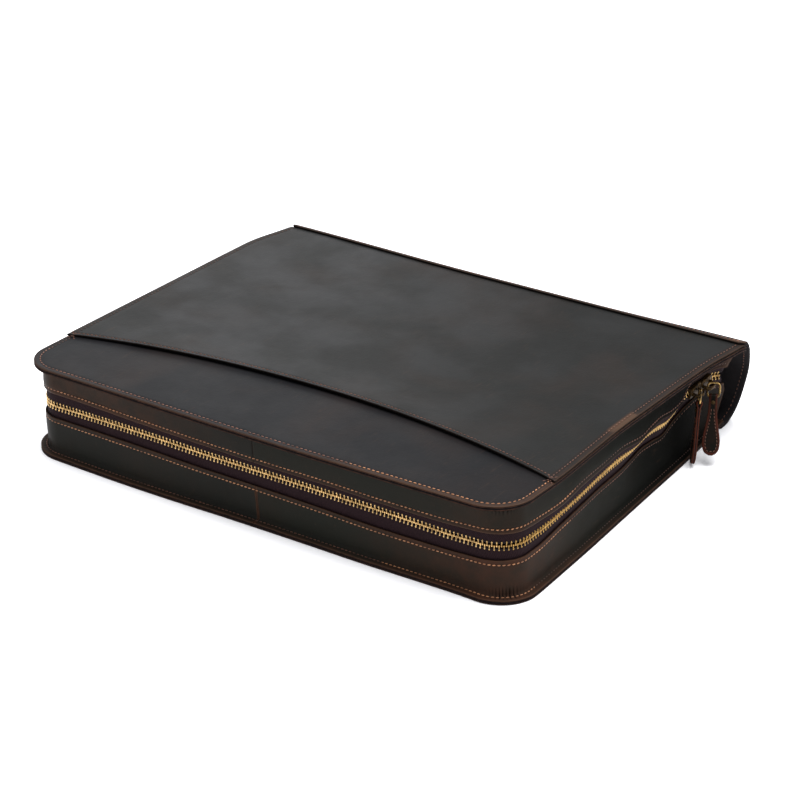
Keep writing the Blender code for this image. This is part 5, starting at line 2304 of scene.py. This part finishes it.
    def bridge(self, foot: float) -> list[list[Vector]]:
        """Lays out the arched bridge.

        Args:
            foot: level from which it rises.

        Returns:
            Its rings of points, from one foot to the other.
        """
        last = self.bridge_steps
        half_run = self.bridge_length / 2 - self.bridge_foot / 2
        top = self.bridge_room + self.bridge_bar / 2 + self.bridge_sunk
        arch = []
        for step in range(last + 1):
            angle = math.pi * step / last
            out = abs(math.cos(angle)) ** self.bridge_squareness
            rise = math.sin(angle) ** self.bridge_squareness * top if 0 < step < last else 0.0
            arch.append(Vector((-math.copysign(out, math.cos(angle)) * half_run, 0.0, foot + rise)))
        corner_out = 1.08  # an eight-sided section's corners stand as far outside its round
        radius = self.bridge_width / 2 * corner_out
        rings = []
        for at, here in enumerate(arch):
            ahead = (arch[min(at + 1, last)] - arch[max(at - 1, 0)]).normalized()
            thick = Vector((-ahead.z, 0.0, ahead.x)) * self.bridge_foot / 2 * corner_out
            ring = []
            for corner in range(8):
                turn = math.pi / 8 + corner * math.pi / 4
                ring.append(here + Vector((0.0, radius * math.cos(turn), 0.0)) + thick * math.sin(turn))
            rings.append(ring)
        return rings

    def casting(self, place: Matrix) -> None:
        """Builds two waisted plates with turned-in sides, a post between them and an arched bridge.

        Args:
            place: the slider's frame.
        """
        inner = self.form.chain_thickness / 2 + self.clearance
        outer = inner + self.plate
        low, bevel, round_off = 1.0 * MM, 0.4 * MM, 0.5 * MM
        lengthways = (-6.0, -5.5, -4.0, -1.0, 1.5, 3.5, 5.0, 5.8, 6.0)
        half_widths = (2.6, 3.5, 3.9, 4.0, 4.5, 4.7, 4.5, 3.6, 2.6)
        shape = bmesh.new()
        for sign in (1.0, -1.0):
            rings = []
            for x, half in zip(lengthways, half_widths):
                half *= MM
                left = [(-half, low), (-half, outer - bevel), (-half + round_off, outer)]
                lip = [(half - self.rail, low), (half - self.rail, inner)]
                section = []
                for side in (left, lip):
                    section += side + [(-y, z) for y, z in reversed(side)]
                rings.append([Vector((x * MM, y, z * sign)) for y, z in section])
            shape.from_mesh(loft("slider_plate", rings))
        shape.from_mesh(loft("slider_bridge", self.bridge(outer - self.bridge_sunk)))
        corners = ((-1.6, -1.1), (1.6, -1.1), (1.6, 1.1), (-1.6, 1.1))
        levels = (-inner - 0.2 * MM, inner + 0.2 * MM)
        post = [[Vector((x * MM, y * MM, level)) for x, y in corners] for level in levels]
        shape.from_mesh(loft("slider_post", post))
        mesh = bpy.data.meshes.new(f"slider_{self.hang.name}_casting")
        shape.to_mesh(mesh)
        shape.free()
        mesh.transform(place)
        mesh.shade_smooth()
        mesh.set_sharp_from_angle(angle=self.crease)
        self.set_brass(mesh, f"slider_{self.hang.name}")

    def ring(self, place: Matrix) -> None:
        """Bends a rounded oblong ring of wire round the slider's bridge.

        Args:
            place: the ring's frame.
        """
        rounding = self.ring_rounding * self.wire
        half_width = (self.ring_width + self.wire) / 2 - rounding
        half_height = (self.ring_height + self.wire) / 2 - rounding
        line = []
        face = place.to_3x3() @ UP
        for corner in range(4):
            turn = corner * math.pi / 2
            centre_x = math.copysign(half_width, math.cos(turn + math.pi / 4))
            centre_y = math.copysign(half_height, math.sin(turn + math.pi / 4))
            for step in range(7):
                angle = turn + math.pi / 2 * step / 6
                x = centre_x + rounding * math.cos(angle)
                y = centre_y + rounding * math.sin(angle)
                line.append((place @ Vector((x, y, 0.0)), face))
        wire = self.shop.line_object(f"pull_ring_{self.hang.name}_wire", [line], closed=True)
        sizes = {"Radius": self.wire / 2, "Sides": 12, "Finish": self.shop.finishes["ring"]}
        wire = self.shop.grow(wire, self.shop.seams.cord, sizes)
        self.shop.hand_over(wire, "antique_brass", [f"pull_ring_{self.hang.name}"])

    def half_wide(self, down: float) -> float:
        """Half of the pull's width at a share of its length."""
        return read_table(PULL_WIDTHS, down).wide * self.pull_width / 2

    def pull(self, place: Matrix) -> None:
        """Folds a strap round the ring's lower wire and sews it along its border on both faces.

        Args:
            place: the ring's frame.
        """
        wire = self.wire_level
        layer = self.pull_hide / 2 + self.layer_gap / 2
        eye = self.wire / 2 + self.form.gap + self.pull_hide / 2
        downs = steps_between(self.pull_neck, 0.9, 0.05) + [0.925, 0.95, 0.97, 0.985, 1.0]
        one = [(wire - self.pull_length * down, layer, self.half_wide(down)) for down in downs]
        other = [(y, -z, half) for y, z, half in one]
        fold = []
        neck = self.half_wide(self.pull_neck)
        for step in range(self.fold_steps + 1):
            angle = self.fold_from + self.fold_turn * step / self.fold_steps
            fold.append((wire + eye * math.sin(angle), eye * math.cos(angle), neck))
        grid, near = [], []
        for y, z, half in one[::-1] + fold + other:
            down = abs(y - wire)
            from_tip = self.pull_length - (down if down > self.eye_reach else 0.0)
            insets = [0.0, 0.45 * MM, 1.2 * MM, self.pull_seam]
            insets = [min(inset, half * 0.9 * at / 3) for at, inset in enumerate(insets)]
            places = [inset - half for inset in insets] + [0.0] + [half - inset for inset in reversed(insets)]
            grid.append([place @ Vector((x, y, z)) for x in places])
            near.append([min(half - abs(x), from_tip) for x in places])
        turn = place.to_3x3()
        name = self.hang.name
        up = turn @ Vector((0.0, 1.0, 0.0))
        hide = self.shop.sheet(
            f"pull_{name}_hide", grid, self.pull_hide, "pull", up, Border(0), edge=near, rim="pull_cut"
        )
        self.shop.hand_over(hide, "pull_leather", [f"pull_tab_{name}"])
        downs = steps_between(self.seam_from, self.seam_turn, 0.02)
        path = [(self.half_wide(down) - self.pull_seam, down) for down in downs]
        widest = self.half_wide(self.seam_turn) - self.pull_seam
        path += [(widest * share, self.seam_end) for share in (0.6, 0.2)]
        path += [(-x, down) for x, down in reversed(path)]
        lines = []
        for face in (1.0, -1.0):
            out = turn @ Vector((0.0, 0.0, face))
            line = []
            for x, down in path:
                x = max(abs(x), 0.2 * MM) * math.copysign(1, x)
                point = Vector((x, wire - self.pull_length * down, face * (layer + self.pull_hide / 2)))
                line.append((place @ point, out))
            lines.append(line)
        sizes = (self.stitch_pitch, self.stitch_length, self.stitch_width)
        self.shop.sew(f"stitches_pull_{name}", lines, "dull_thread", *sizes, seed=12)

    def rivet(self, ring: Matrix) -> None:
        """Builds a domed rivet with a head on each face of the strap.

        Args:
            ring: the ring's frame.
        """
        place = ring @ Matrix.Translation((0.0, self.wire_level - self.rivet_below_ring, 0.0))
        grip = self.layer_gap / 2 + self.pull_hide
        head = self.rivet_head / 2
        dome = ((0.02, 0.75), (0.35, 0.70), (0.7, 0.52), (0.93, 0.25), (1.0, 0.0))
        profile = [(share * head, grip + rise * MM) for share, rise in dome]
        profile += [(radius, -height) for radius, height in reversed(profile)]
        turns = [2 * math.pi * step / self.rivet_sides for step in range(self.rivet_sides)]
        rings = []
        for radius, height in profile:
            circle = [(radius * math.cos(turn), radius * math.sin(turn), height) for turn in turns]
            rings.append([Vector(point) for point in circle])
        mesh = loft(f"pull_rivet_{self.hang.name}_heads", rings)
        mesh.transform(place)
        mesh.shade_smooth()
        self.set_brass(mesh, f"pull_rivet_{self.hang.name}")


@dataclass(frozen=True)
class Studio:
    """White ground, soft boxes and the camera at the photograph's place."""

    shop: Workshop
    place_mm: tuple[float, float, float] = (853.83, -1075.96, 736.08)  # of the camera, in the cutting frame
    yaw: float = math.radians(34.656)
    pitch: float = math.radians(25.489)
    roll: float = math.radians(-0.198)
    focal_px: float = 2600.0
    frame_px: float = 800.0
    film: float = 36.0
    reach: float = 5.0  # half of the ground's width
    room: str = "#f2f4f7"
    room_strength: float = 0.66

    def build(self) -> None:
        """Builds ground, lights and camera."""
        self.ground()
        self.lights()
        self.camera()
        bpy.context.scene.view_settings.view_transform = "Standard"
        bpy.context.scene.view_settings.look = "None"

    def ground(self) -> None:
        """Lays a wide sheet of white paper."""
        mesh = bpy.data.meshes.new("ground")
        corners = ((-1, -1), (1, -1), (1, 1), (-1, 1))
        mesh.from_pydata([(x * self.reach, y * self.reach, 0) for x, y in corners], [], [(0, 1, 2, 3)])
        mesh.materials.append(self.shop.finishes["ground"])
        add_object("ground", mesh)

    def lights(self) -> None:
        """Sets a large box overhead and behind, a small one at the back left, and a pale room."""
        world = bpy.data.worlds.new("pale_room")
        world.use_nodes = True
        tree = world.node_tree
        pale = {"Color": linear(self.room), "Strength": self.room_strength}
        set_inputs(tree, tree.nodes["Background"], pale)
        bpy.context.scene.world = world
        for name, spot, size, power in (
            ("overhead_box", Vector((0.15, 0.3, 2.0)), (1.8, 1.8), 88.0),
            ("back_left_box", Vector((-0.75, 0.75, 0.45)), (0.5, 0.4), 0.95),
        ):
            light = bpy.data.lights.new(name, "AREA")
            light.shape = "RECTANGLE"
            light.size, light.size_y = size
            light.energy = power
            lamp = add_object(name, light)
            lamp.location = spot
            lamp.rotation_euler = (-spot).to_track_quat("-Z", "Y").to_euler()

    def camera(self) -> None:
        """Sets the camera as fitted to the case's outline in the photograph."""
        level = Vector((math.cos(self.yaw), math.sin(self.yaw), 0.0))
        flat = math.cos(self.pitch)
        forward = Vector((-math.sin(self.yaw) * flat, math.cos(self.yaw) * flat, -math.sin(self.pitch)))
        over = level.cross(forward)
        turn, tilt = math.cos(self.roll), math.sin(self.roll)
        data = bpy.data.cameras.new("photo_camera")
        data.sensor_width = self.film
        data.lens = self.focal_px / self.frame_px * self.film
        data.clip_start = 0.05
        camera = add_object("photo_camera", data)
        place = Vector(self.place_mm) * MM + ORIGIN
        camera.matrix_world = frame_at(turn * level + tilt * over, -tilt * level + turn * over, place)
        bpy.context.scene.camera = camera


def main() -> None:
    """Builds the case piece by piece and reports each."""
    logging.basicConfig(level=logging.INFO, format="%(name)s %(message)s", stream=sys.stdout)
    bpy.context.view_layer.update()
    shop = Workshop()
    Studio(shop).build()
    for part in (Covers, Pocket, Spine, Gussets, Zip):
        part(shop).build()
    for hang in HANGS:
        Slider(shop, hang=hang).build()


if __name__ == "__main__":
    main()
